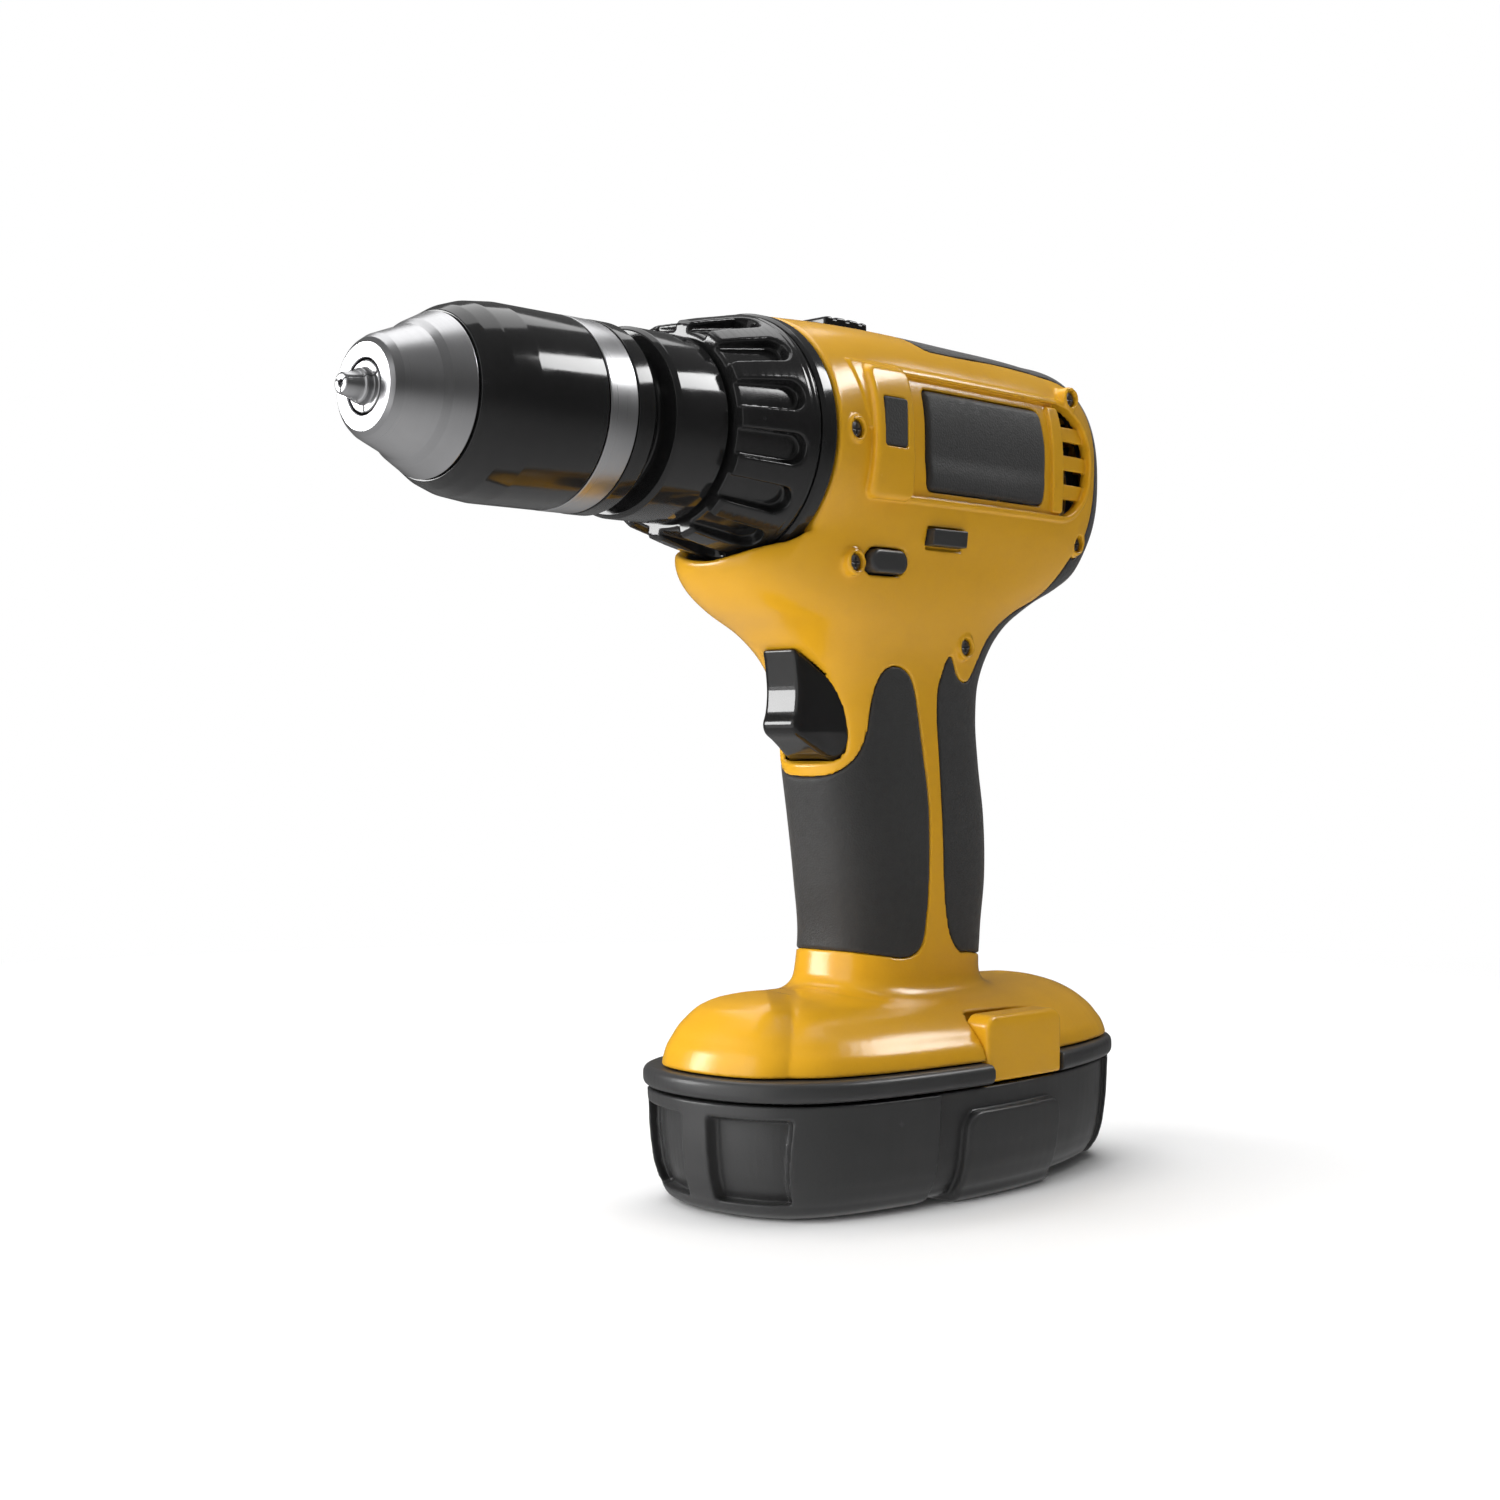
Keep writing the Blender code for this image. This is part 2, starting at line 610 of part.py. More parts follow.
def clutch_ring():
    ring = revolve("clutch_ring", [(-74, 16.5), (-74, 23.6), (-72.5, 24.6), (-64, 26.0), (-55, 28.2),
                                   (-53.4, 28.4), (-53.4, 19.5), (-72, 19.5), (-72, 16.5)], segments=30)
    for i in range(FLUTES):
        angle = math.radians(FLUTE_PHASE) + 2 * math.pi * i / FLUTES
        flute = []
        for x, out, radius in ((-80, 26.0, 3.1), (-71.6, 27.2, 3.1), (-60.6, 29.0, 3.1), (-58.4, 29.2, 2.3),
                               (-57.4, 29.3, 1.1)):
            centre = (out * math.cos(angle), out * math.sin(angle))
            flute.append([(x, centre[0] + radius * math.cos(a), AXIS_Z + centre[1] + radius * math.sin(a))
                          for a in (2 * math.pi * k / 8 for k in range(8))])
        boolean(ring, finish("flute", loft(flute)), "DIFFERENCE")
    dress(ring, "gloss_black")


def gears():
    x0, x1 = GEAR_X
    shaft = revolve("rotor_shaft", disc_profile(x1 - 1.0, 41.5, SHAFT_R))
    pinion = gear_outline(SUN_TEETH, SUN_PITCH_R, SUN_PITCH_R + 0.62, SUN_PITCH_R - 0.95)
    boolean(shaft, prism_x("pinion", pinion, x0, x1), "UNION")
    dress(shaft, "brushed_steel")
    for i in range(3):
        angle = i * 2 * math.pi / 3
        outline = gear_outline(PLANET_TEETH, PLANET_PITCH_R, PLANET_PITCH_R + 0.62, PLANET_PITCH_R - 0.95,
                               planet_phase(angle))
        cy, cz = CARRIER_R * math.cos(angle), CARRIER_R * math.sin(angle)
        planet = prism_x("planet_gear_%d" % (i + 1), [(cy + y, cz + z) for y, z in outline], x0, x1)
        boolean(planet, bar_x("bore", cy, cz, 2.3, x0 - 2, x1 + 2), "DIFFERENCE")
        dress(planet, "brass")
    ring = revolve("ring_gear", disc_profile(x0 - 0.2, x1 + 0.4, 19.9))
    teeth = gear_outline(RING_TEETH, RING_PITCH_R, RING_PITCH_R + 0.98, RING_PITCH_R - 0.62,
                         ring_phase(), fill=0.58)
    boolean(ring, prism_x("teeth", teeth, x0 - 3, x1 + 3), "DIFFERENCE")
    dress(ring, "dark_steel")


def planet_phase(angle):
    """Phase that puts a planet's tooth space on the sun's tooth at the line of centres."""
    sun_pitch = 2 * math.pi / SUN_TEETH
    planet_pitch = 2 * math.pi / PLANET_TEETH
    ahead = (angle / sun_pitch) % 1.0
    return angle + math.pi + planet_pitch * (0.5 + ahead)


def ring_phase():
    """Phase of the ring's tooth spaces, which a planet tooth at angle 0 enters."""
    planet_pitch = 2 * math.pi / PLANET_TEETH
    ring_pitch = 2 * math.pi / RING_TEETH
    ahead = (-planet_phase(0.0) / planet_pitch) % 1.0
    return -ring_pitch * ahead


def bar_x(name, cy, cz, radius, x0, x1, segments=14):
    outline = [(cy + radius * math.cos(a), cz + radius * math.sin(a))
               for a in (2 * math.pi * i / segments for i in range(segments))]
    return prism_x(name, outline, x0, x1)


def gearbox():
    revolve("gearbox_case", [(-75.2, 9.4), (-75.2, 16.0), (-52.7, 16.0), (-52.7, 22.4), (-22, 22.4),
                             (-22, 20.3), (-46.8, 20.3), (-46.8, 16.3), (-51.7, 16.3), (-51.7, 9.4)],
            "dark_steel")
    revolve("gearbox_collar", [(-95.2, 9.4), (-95.2, 15.5), (-90.4, 15.5), (-90.4, 20.6), (-89.6, 21.2),
                               (-75.5, 21.2), (-75.5, 9.4)], "gloss_black")
    revolve("front_flange", ring_profile(-53.1, -48.3, 22.8, FLANGE_R), "gloss_black", 30)
    revolve("spindle_bearing", ring_profile(-92, -82, 5.8, 9.1), "dark_steel")
    revolve("output_spindle", disc_profile(-111, -51.2, SPINDLE_R), "brushed_steel", 32)
    carrier = revolve("planet_carrier", disc_profile(-50.8, -47.6, 15.4))
    for i in range(3):
        angle = i * 2 * math.pi / 3
        pin = bar_x("pin", CARRIER_R * math.cos(angle), CARRIER_R * math.sin(angle), 2.0, -48.6, -38.0)
        boolean(carrier, pin, "UNION")
    dress(carrier, "dark_steel")
    coil("clutch_spring", -70.4, -58.6, 18.0, 0.7, 4, "brushed_steel")
    clutch_ring()


# ---------------------------------------------------------------- motor

def arc_outline(inner, outer, start, end, steps=12):
    angles = [math.radians(start + (end - start) * i / steps) for i in range(steps + 1)]
    outside = [(outer * math.cos(a), outer * math.sin(a)) for a in angles]
    inside = [(inner * math.cos(a), inner * math.sin(a)) for a in reversed(angles)]
    return outside + inside


def motor():
    front, back = CAN_X
    revolve("motor_can", [(front, 4.4), (front, CAN_R), (back, CAN_R), (back, CAN_R - 1.5),
                          (front + 1.8, CAN_R - 1.5), (front + 1.8, 4.4)], "dark_steel")
    revolve("motor_end_bell", [(back + GAP, 4.4), (back + GAP, 18.4), (36, 18.4), (38, 14), (38, 4.4)],
            "case_plastic")
    revolve("rear_bearing", ring_profile(38.4, 42.4, 3.0, 7.0), "dark_steel")
    prism_x("magnet_top", arc_outline(*MAGNET_R, 35, 145), -18, 14, "dark_steel")
    prism_x("magnet_bottom", arc_outline(*MAGNET_R, 215, 325), -18, 14, "dark_steel")
    core = prism_x("armature", gear_outline(5, 12.0, 14.4, 8.0, 0.3, 0.80), -16, 12)
    boolean(core, bar_x("bore", 0, 0, SHAFT_R + GAP, -20, 20), "DIFFERENCE")
    dress(core, "copper")
    revolve("commutator", ring_profile(16, 26, SHAFT_R + GAP, 6.4), "copper")
    fan = prism_x("motor_fan", gear_outline(9, 11.0, 15.2, 6.5, 0.0, 0.40), -27, -22)
    boolean(fan, bar_x("bore", 0, 0, SHAFT_R + GAP, -30, -20), "DIFFERENCE")
    dress(fan, "case_plastic")
    brush = box("brush_left", (19, -12.5, AXIS_Z - 2.2), (24.5, -6.8, AXIS_Z + 2.2), "copper")
    mirrored(brush, "brush_right")


# ---------------------------------------------------------------- controls

def trigger():
    """A finger trigger with a hollow face, guided by its plunger."""
    side = smooth_outline([(-35.8, 126.2), (-36.4, 121), (-35.5, 114), (-36.4, 109.4), (-33.8, 105.4),
                           (-28.5, 101.4), (-20.5, 101.0), (TRIGGER_BACK_X, 103), (TRIGGER_BACK_X, 124.0),
                           (-20.5, 126.4)])
    body = prism_y("trigger", side, -TRIGGER_HALF_WIDTH, TRIGGER_HALF_WIDTH)
    half_plan = [(-18, TRIGGER_HALF_WIDTH), (-24.5, 11.0), (-28.0, 9.6), (-32.0, 8.0), (-35.2, 6.9), (-38, 5.4)]
    plan = half_plan + [(x, -y) for x, y in reversed(half_plan)]
    boolean(body, finish("plan", loft([[(x, y, z) for x, y in plan] for z in (98, 130)])), "INTERSECT")
    plunger = revolve("plunger", disc_profile(TRIGGER_BACK_X - 1.0, -1.0, PLUNGER_R), segments=20,
                      axis_z=PLUNGER_Z)
    boolean(body, plunger, "UNION")
    dress(body, "gloss_black")


def controls():
    trigger()
    switch = box("switch_body", (-4.0, -8.5, 99.0), (20.5, 8.5, 124.0))
    hole = revolve("hole", disc_profile(-6, 8.0, PLUNGER_R + 0.5), segments=20, axis_z=PLUNGER_Z)
    boolean(switch, hole, "DIFFERENCE")
    dress(switch, "case_plastic")
    coil("trigger_spring", -11.2, -4.7, 4.0, 0.5, 4, "brushed_steel", PLUNGER_Z)
    outline = rounded_outline(-33.0, -19.8, 144.5, 150.1, 2.7)
    prism_y("direction_button", outline, -BUTTON_REACH, BUTTON_REACH, "case_plastic")
    box("selector_plate", (-33.6, -6.9, 201.6), (0.2, 6.9, 205.0), "case_plastic")
    box("speed_selector", (-26.5, -5.4, 205.3), (-11.5, 5.4, 207.8), "gloss_black")


# ---------------------------------------------------------------- battery

def battery_case():
    case = finish("battery_case", loft([plan_ring(BATTERY_PLAN, z, inset) for z, inset in CASE_LEVELS]))
    inner = loft([plan_ring(BATTERY_PLAN, z, inset, 20) for z, inset in CASE_HOLLOW])
    boolean(case, finish("inner", inner), "DIFFERENCE")
    dress(case, "case_plastic")


def tower(name, inset, z0, z1):
    """The block that reaches up into the handle, or its hollow."""
    half_x, half_y = TOWER_HALF
    outline = superellipse(half_x - inset, half_y - inset, 4.0, 32)
    return finish(name, loft([[(2 + x, y, z) for x, y in outline] for z in (z0, z1)]))


def battery_lid():
    bottom, top = LID_Z
    levels = ((bottom, 0.8), (bottom + 0.6, 0.0), (top - 1.2, 0.0), (top, 1.0))
    lid = finish("battery_lid", loft([plan_ring(BATTERY_PLAN, z, inset) for z, inset in levels]))
    boolean(lid, tower("tower", 0.0, bottom + 1, TOWER_TOP_Z), "UNION")
    boolean(lid, tower("bore", TOWER_WALL, bottom - 5, TOWER_TOP_Z - TOWER_WALL), "DIFFERENCE")
    for side in (-1, 1):
        low, high = sorted((side * 28.0, side * 60.0))
        pocket = box("pocket", (LATCH_X[0] - 0.4, low, 20), (LATCH_X[1] + 0.4, high, 50))
        boolean(lid, pocket, "DIFFERENCE")
    dress(lid, "case_plastic")


def battery():
    battery_case()
    battery_lid()
    outline = rounded_outline(LATCH_X[0], LATCH_X[1], LATCH_Z[0], LATCH_Z[1], 3.5)
    latch = prism_y("latch_left", outline, -LATCH_FACE_Y, -30.6, "yellow_plastic")
    mirrored(latch, "latch_right")
    for i in range(CELLS):
        x = 6.0 + (i - (CELLS - 1) / 2) * CELL_PITCH
        outline = [(x + CELL_R * math.cos(a), CELL_Z + CELL_R * math.sin(a))
                   for a in (2 * math.pi * k / 16 for k in range(16))]
        prism_y("battery_cell_%d" % (i + 1), outline, -CELL_HALF, CELL_HALF, "case_plastic")
    box("terminal_block", (-6, -7.5, TOWER_TOP_Z + 0.3), (9, 7.5, TOWER_TOP_Z + 7), "copper")


def build():
    clear_scene()
    make_materials()
    housing()
    side_trim()
    housing_screws()
    chuck()
    gearbox()
    gears()
    motor()
    controls()
    battery()


build()
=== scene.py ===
"""Looks of a cordless drill driver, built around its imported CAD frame.

Shapes are worked out in millimetres, in the part's own frame with heights above a datum level 3.2 mm
over the battery's underside, and turned into metres when a mesh is made. Moulded pieces are signed
distance fields: negative inside, with their zero level turned into a mesh.
"""
import json
import math

import bmesh
import bpy
import numpy as np
import openvdb
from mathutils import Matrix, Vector


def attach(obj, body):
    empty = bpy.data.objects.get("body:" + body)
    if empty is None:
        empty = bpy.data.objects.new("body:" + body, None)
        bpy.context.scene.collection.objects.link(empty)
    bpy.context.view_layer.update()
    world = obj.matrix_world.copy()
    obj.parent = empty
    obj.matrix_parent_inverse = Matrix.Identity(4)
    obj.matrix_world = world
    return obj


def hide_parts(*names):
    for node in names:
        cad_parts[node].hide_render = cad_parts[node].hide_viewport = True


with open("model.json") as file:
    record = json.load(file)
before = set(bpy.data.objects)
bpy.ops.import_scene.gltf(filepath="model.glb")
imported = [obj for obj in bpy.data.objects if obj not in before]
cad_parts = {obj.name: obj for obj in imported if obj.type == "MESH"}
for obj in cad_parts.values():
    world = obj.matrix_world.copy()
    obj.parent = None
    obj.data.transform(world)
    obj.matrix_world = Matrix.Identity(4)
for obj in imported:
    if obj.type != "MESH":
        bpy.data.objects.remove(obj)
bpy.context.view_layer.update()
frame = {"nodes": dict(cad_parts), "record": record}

MM = 0.001
MIRROR = np.array([1, -1, 1])
SIDES = (("left", True), ("right", False))
DATUM = 3.2                 # the datum level's height over the ground
AXIS_Z = 175.4              # height of the chuck's and motor's axis
FOOT_Z = 29.3               # where the housing's foot meets the battery
FOOT_NOSE = 55.0            # length over which the foot's dome rises towards its nose
FLANGE_X = -48.0            # front end of the motor barrel
FLANGE_R = 29.9             # room for the clutch in the housing's chin
REAR_X = 70.0               # back end of the motor barrel
RUBBER = 1.5                # thickness of the soft grips
SKIN = 2.8                  # wall of the housing
OUTSIDE = -2.35             # depth down to which a shell's mesh is fine
PAINTED_SHADE_Z = 140.0       # from here up the shell's inside is painted dark: painted shade behind the vents, on a housing that is yellow inside
GEARBOX_R = 24.5            # room for the gears in the front of the barrel
LID_Z = (24.1, 29.0)
PANEL_LOW = (-43.5, 156.5)  # corners of the window with the finest mesh, as (x, z)
PANEL_HIGH = (56.0, 195.5)
INLAY_X = (-33.6, -25.4)
INLAY_Z = (173.4, 184.6)
WINDOW_Y = (4.2, 23.6)      # windows in the battery's nose
WINDOW_Z = (1.0, 20.4)
STEP_X = (-19.4, 60.0)      # the battery's waist
TAB_X = (-11.2, 26.0)       # the thumb tab in the waist
TAB_Z = 18.4
LIGHT_TARGET = (0.0, 0.0, 0.12)
# How bright the surroundings are from straight below (0) to straight above (1)
SKY = ((0.0, 0.6), (0.30, 0.36), (0.47, 0.10), (0.56, 0.08), (1.0, 0.22))


# ---- camera

def make_camera():
    data = bpy.data.cameras.new("camera")
    data.sensor_width = 36.0
    data.lens = 52.78
    data.clip_start = 0.01
    data.clip_end = 20.0
    camera = bpy.data.objects.new("camera", data)
    bpy.context.scene.collection.objects.link(camera)
    camera.location = (-0.4154, -0.3597, 0.1055)
    turn, rise = math.radians(45.67), math.radians(0.12)
    ahead = Vector((math.sin(turn) * math.cos(rise), math.cos(turn) * math.cos(rise), math.sin(rise)))
    camera.rotation_euler = ahead.to_track_quat("-Z", "Y").to_euler()
    bpy.context.scene.camera = camera


# ---- materials

class Nodes:
    """Short names for building a node material."""

    def __init__(self, name):
        self.material = bpy.data.materials.new(name)
        self.material.use_nodes = True
        self.tree = self.material.node_tree
        self.shader = self.tree.nodes["Principled BSDF"]
        self.place = self.add("ShaderNodeTexCoord").outputs["Object"]

    def add(self, kind, **settings):
        node = self.tree.nodes.new(kind)
        for key, value in settings.items():
            setattr(node, key, value)
        return node

    def link(self, output, socket):
        self.tree.links.new(output, socket)

    def noise(self, scale, detail=3.0, rough=0.5, stretch=None):
        node = self.add("ShaderNodeTexNoise")
        node.inputs["Scale"].default_value = scale
        node.inputs["Detail"].default_value = detail
        node.inputs["Roughness"].default_value = rough
        source = self.place
        if stretch:
            mapping = self.add("ShaderNodeMapping")
            mapping.inputs["Scale"].default_value = stretch
            self.link(source, mapping.inputs["Vector"])
            source = mapping.outputs["Vector"]
        self.link(source, node.inputs["Vector"])
        return node.outputs["Fac"]

    def cells(self, scale):
        node = self.add("ShaderNodeTexVoronoi")
        node.inputs["Scale"].default_value = scale
        self.link(self.place, node.inputs["Vector"])
        return node.outputs["Distance"]

    def remap(self, value, low, high, out_low, out_high):
        node = self.add("ShaderNodeMapRange")
        limits = {"From Min": low, "From Max": high, "To Min": out_low, "To Max": out_high}
        for key, number in limits.items():
            node.inputs[key].default_value = number
        self.link(value, node.inputs["Value"])
        return node.outputs["Result"]

    def mix(self, factor, first, second):
        node = self.add("ShaderNodeMix", data_type="RGBA")
        self.link(factor, node.inputs["Factor"])
        for socket, colour in ((node.inputs[6], first), (node.inputs[7], second)):
            if isinstance(colour, tuple):
                socket.default_value = (*colour, 1.0)
            else:
                self.link(colour, socket)
        return node.outputs[2]

    def edges(self, low=0.52, high=0.62):
        """0 on flats and 1 on sharp outer edges."""
        return self.remap(self.add("ShaderNodeNewGeometry").outputs["Pointiness"], low, high, 0.0, 1.0)

    def times(self, first, second):
        node = self.add("ShaderNodeMath", operation="MULTIPLY")
        self.link(first, node.inputs[0])
        if isinstance(second, float):
            node.inputs[1].default_value = second
        else:
            self.link(second, node.inputs[1])
        return node.outputs[0]

    def bumps(self, *layers):
        """Each layer is (height, distance in metres, strength)."""
        normal = None
        for height, distance, strength in layers:
            node = self.add("ShaderNodeBump")
            node.inputs["Distance"].default_value = distance
            node.inputs["Strength"].default_value = strength
            self.link(height, node.inputs["Height"])
            if normal:
                self.link(normal, node.inputs["Normal"])
            normal = node.outputs["Normal"]
        self.link(normal, self.shader.inputs["Normal"])

    def colour(self, output):
        self.link(output, self.shader.inputs["Base Color"])

    def rough(self, output):
        self.link(output, self.shader.inputs["Roughness"])

    def set(self, **values):
        for key, value in values.items():
            self.shader.inputs[key.replace("_", " ")].default_value = value


def plastic(name, base, light, dark, rough, grain, grain_depth, wear=0.3):
    """Moulded plastic: fine grain, slow colour drift, paler rubbed edges."""
    n = Nodes(name)
    drift = n.mix(n.remap(n.noise(28.0, 4.0), 0.3, 0.7, 0.0, 1.0), dark, base)
    speck = n.mix(n.remap(n.noise(grain * 0.6, 2.0), 0.35, 0.75, 0.0, 0.5), drift, base)
    rubbed = n.times(n.times(n.edges(), n.remap(n.noise(300.0, 5.0), 0.4, 0.65, 0.0, 1.0)), wear)
    n.colour(n.mix(rubbed, speck, light))
    n.rough(n.remap(n.noise(120.0, 4.0), 0.3, 0.7, rough - 0.03, rough + 0.05))
    n.bumps((n.noise(grain, 2.0), grain_depth, 1.0), (n.noise(60.0, 2.0), 0.00004, 0.25))
    n.set(Specular_IOR_Level=0.5)
    return n.material


def rubber(name, base, light, dark):
    """Soft-touch rubber with a fine stipple."""
    n = Nodes(name)
    drift = n.mix(n.remap(n.noise(40.0, 4.0), 0.3, 0.7, 0.0, 1.0), dark, base)
    rubbed = n.times(n.times(n.edges(0.51, 0.6), n.noise(260.0, 5.0)), 0.5)
    n.colour(n.mix(rubbed, drift, light))
    n.rough(n.remap(n.noise(500.0, 3.0), 0.3, 0.7, 0.5, 0.66))
    n.bumps((n.cells(1900.0), 0.00009, 0.55), (n.noise(3800.0, 2.0), 0.00004, 0.5))
    n.set(Specular_IOR_Level=0.42, Sheen_Weight=0.12, Sheen_Roughness=0.4)
    return n.material


def metal(name, base, dark, rough, turned=True, line_depth=0.00001):
    """Turned or tumbled metal: fine tool lines round the axis, and slow stains."""
    n = Nodes(name)
    stretch = (5200.0, 12.0, 12.0) if turned else (500.0, 500.0, 500.0)
    lines = n.noise(1.0, 2.0, 0.6, stretch)
    drift = n.mix(n.remap(n.noise(70.0, 4.0), 0.3, 0.7, 0.0, 1.0), dark, base)
    n.colour(n.mix(n.remap(lines, 0.35, 0.65, 0.0, 0.25), drift, dark))
    n.rough(n.remap(lines, 0.3, 0.7, rough - 0.03, rough + 0.05))
    n.bumps((lines, line_depth, 0.35))
    n.set(Metallic=1.0)
    return n.material


FINISHES = {
    "yellow_plastic": (plastic, (0.80, 0.415, 0.018), (0.90, 0.55, 0.08), (0.75, 0.38, 0.014),
                       0.19, 2600.0, 0.000018),
    "soft_rubber": (rubber, (0.036, 0.036, 0.036), (0.066, 0.066, 0.067), (0.029, 0.029, 0.029)),
    "gloss_black": (plastic, (0.013, 0.013, 0.0132), (0.04, 0.04, 0.042), (0.010, 0.010, 0.0102),
                    0.11, 900.0, 0.000004, 0.2),
    "case_plastic": (plastic, (0.044, 0.044, 0.0445), (0.10, 0.10, 0.102), (0.037, 0.037, 0.0375),
                     0.33, 3200.0, 0.000025, 0.35),
    "brushed_steel": (metal, (0.56, 0.56, 0.57), (0.46, 0.46, 0.47), 0.3, True, 0.000004),
    "dark_steel": (metal, (0.22, 0.22, 0.23), (0.13, 0.13, 0.135), 0.36, False),
    "brass": (metal, (0.72, 0.50, 0.22), (0.55, 0.36, 0.14), 0.32, False),
    "copper": (metal, (0.70, 0.32, 0.16), (0.50, 0.2, 0.09), 0.34, False),
}


def make_materials():
    """One material for each material slot of the record."""
    return {slot: make(slot, *settings) for slot, (make, *settings) in FINISHES.items()}


# ---- distance fields

def curve(at, keys, values):
    """A smooth curve through the keys, held level beyond both ends."""
    keys = np.asarray(keys, float)
    values = np.asarray(values, float)
    slopes = np.gradient(values, keys)
    at = np.clip(at, keys[0], keys[-1])
    i = np.clip(np.searchsorted(keys, at) - 1, 0, len(keys) - 2)
    span = keys[i + 1] - keys[i]
    t = (at - keys[i]) / span
    return ((1 + 2 * t) * (1 - t) ** 2 * values[i] + t * (1 - t) ** 2 * span * slopes[i]
            + t * t * (3 - 2 * t) * values[i + 1] + t * t * (t - 1) * span * slopes[i + 1])


def smooth_outline(points, steps=4):
    """A smooth closed curve through the points."""
    result = []
    count = len(points)
    for i in range(count):
        p0, p1, p2, p3 = (np.array(points[(i + k - 1) % count], float) for k in range(4))
        for s in range(steps):
            t = s / steps
            result.append(tuple(0.5 * (2 * p1 + (p2 - p0) * t + (2 * p0 - 5 * p1 + 4 * p2 - p3) * t * t
                                       + (3 * p1 - p0 - 3 * p2 + p3) * t ** 3)))
    return result


def outline_distance(points, a, b):
    """Signed distance from the (a, b) points to a closed outline."""
    best = np.full(np.broadcast(a, b).shape, 1e9, np.float32)
    inside = np.zeros(best.shape, bool)
    for (a0, b0), (a1, b1) in zip(points, points[1:] + points[:1]):
        da, db = a1 - a0, b1 - b0
        length = da * da + db * db
        if length < 1e-12:
            continue
        t = np.clip(((a - a0) * da + (b - b0) * db) / length, 0, 1)
        best = np.minimum(best, (a - a0 - t * da) ** 2 + (b - b0 - t * db) ** 2)
        if db:
            inside ^= ((b0 > b) != (b1 > b)) & (a < a0 + (b - b0) * da / db)
    best = np.sqrt(best)
    return np.where(inside, -best, best).astype(np.float32)


def rectangle(a, b, low_a, high_a, low_b, high_b, radius):
    """Signed distance to a rectangle with round corners."""
    qa = np.abs(a - (low_a + high_a) / 2) - (high_a - low_a) / 2 + radius
    qb = np.abs(b - (low_b + high_b) / 2) - (high_b - low_b) / 2 + radius
    return np.hypot(np.maximum(qa, 0), np.maximum(qb, 0)) + np.minimum(np.maximum(qa, qb), 0) - radius


def join(a, b, k=0.0):
    """Union, with a fillet of about k."""
    if k <= 0:
        return np.minimum(a, b)
    h = np.clip(0.5 + 0.5 * (b - a) / k, 0, 1)
    return b + (a - b) * h - k * h * (1 - h)


def meet(a, b, k=0.0):
    """Intersection, with edges rounded by about k."""
    return -join(-a, -b, k)


def cut(a, b, k=0.0):
    """a without b."""
    return meet(a, -b, k)


def even(field, step):
    """Scale a field so that it grows by one per millimetre."""
    grown = np.gradient(field, step)
    size = np.sqrt(sum(g * g for g in grown))
    return (field / np.clip(size, 0.5, 6.0)).astype(np.float32)


def axes(low, high, step):
    """Grid coordinates along the three axes, ready to broadcast."""
    ranges = [np.arange(a, b + step, step, dtype=np.float32) for a, b in zip(low, high)]
    return ranges[0][:, None, None], ranges[1][None, :, None], ranges[2][None, None, :]


def squircle(a, b, half_a, half_b, power):
    """Distance along the ray from the centre of a superellipse."""
    reach = (np.abs(a / half_a) ** power + np.abs(b / half_b) ** power) ** (1 / power) + 1e-4
    return np.hypot(a, b) * (1 - 1 / reach)


def sampled(field, low, step, points):
    """The field's value at each point, between the grid's own."""
    place = (points - np.array(low)) / step
    base = np.clip(np.floor(place).astype(int), 0, np.array(field.shape) - 2)
    f = place - base
    total = np.zeros(len(points))
    for i in (0, 1):
        for j in (0, 1):
            for k in (0, 1):
                weight = (np.abs(1 - i - f[:, 0]) * np.abs(1 - j - f[:, 1]) * np.abs(1 - k - f[:, 2]))
                total += weight * field[base[:, 0] + i, base[:, 1] + j, base[:, 2] + k]
    return total


def slope(field, low, step, points):
    """The field's gradient at each point."""
    small = 0.5 * step
    ways = small * np.eye(3)
    return np.stack([sampled(field, low, step, points + way) - sampled(field, low, step, points - way)
                     for way in ways], 1) / (2 * small)


def skin(field, low, step):
    """The zero level of a field as points, quads and outward normals, in millimetres."""
    padded = np.pad(field, 1, mode="edge")
    for side in (0, -1):
        padded[side] = np.maximum(padded[side], step)
        padded[:, side] = np.maximum(padded[:, side], step)
        padded[:, :, side] = np.maximum(padded[:, :, side], step)
    grid = openvdb.FloatGrid(4.0 * step)
    grid.copyFromArray(np.clip(padded, -4 * step, 4 * step).astype(np.float32))
    points, _, quads = grid.convertToPolygons(0.0, 0.0)
    start = np.array(low, float) - step
    points = points.astype(float) * step + start
    for _ in range(2):
        value = sampled(padded, start, step, points)
        way = slope(padded, start, step, points)
        size = np.maximum((way ** 2).sum(1), 0.25)
        move = -way * (value / size)[:, None]
        length = np.linalg.norm(move, axis=1)
        points += move * np.minimum(1, 0.35 * step / np.maximum(length, 1e-9))[:, None]
    return points, quads.astype(int), slope(padded, start, step, points)


def trimmed(points, faces, planes, scored=()):
    """Cut a mesh by (point, way out) planes and drop what is outside; scored planes only cut edges in."""
    bm = bmesh.new()
    made = [bm.verts.new(p) for p in points]
    for face in faces:
        bm.faces.new([made[i] for i in face])
    for group, dropped in ((planes, True), (scored, False)):
        for origin, way in group:
            bmesh.ops.bisect_plane(bm, geom=bm.verts[:] + bm.edges[:] + bm.faces[:], dist=1e-5,
                                   plane_co=origin, plane_no=way, clear_outer=dropped)
    bm.verts.index_update()
    points = np.array([v.co[:] for v in bm.verts])
    faces = [[v.index for v in face.verts] for face in bm.faces]
    bm.free()
    return points, faces


def centres(points, faces):
    return np.array([points[face].mean(0) for face in faces]) if len(faces) else np.zeros((0, 3))


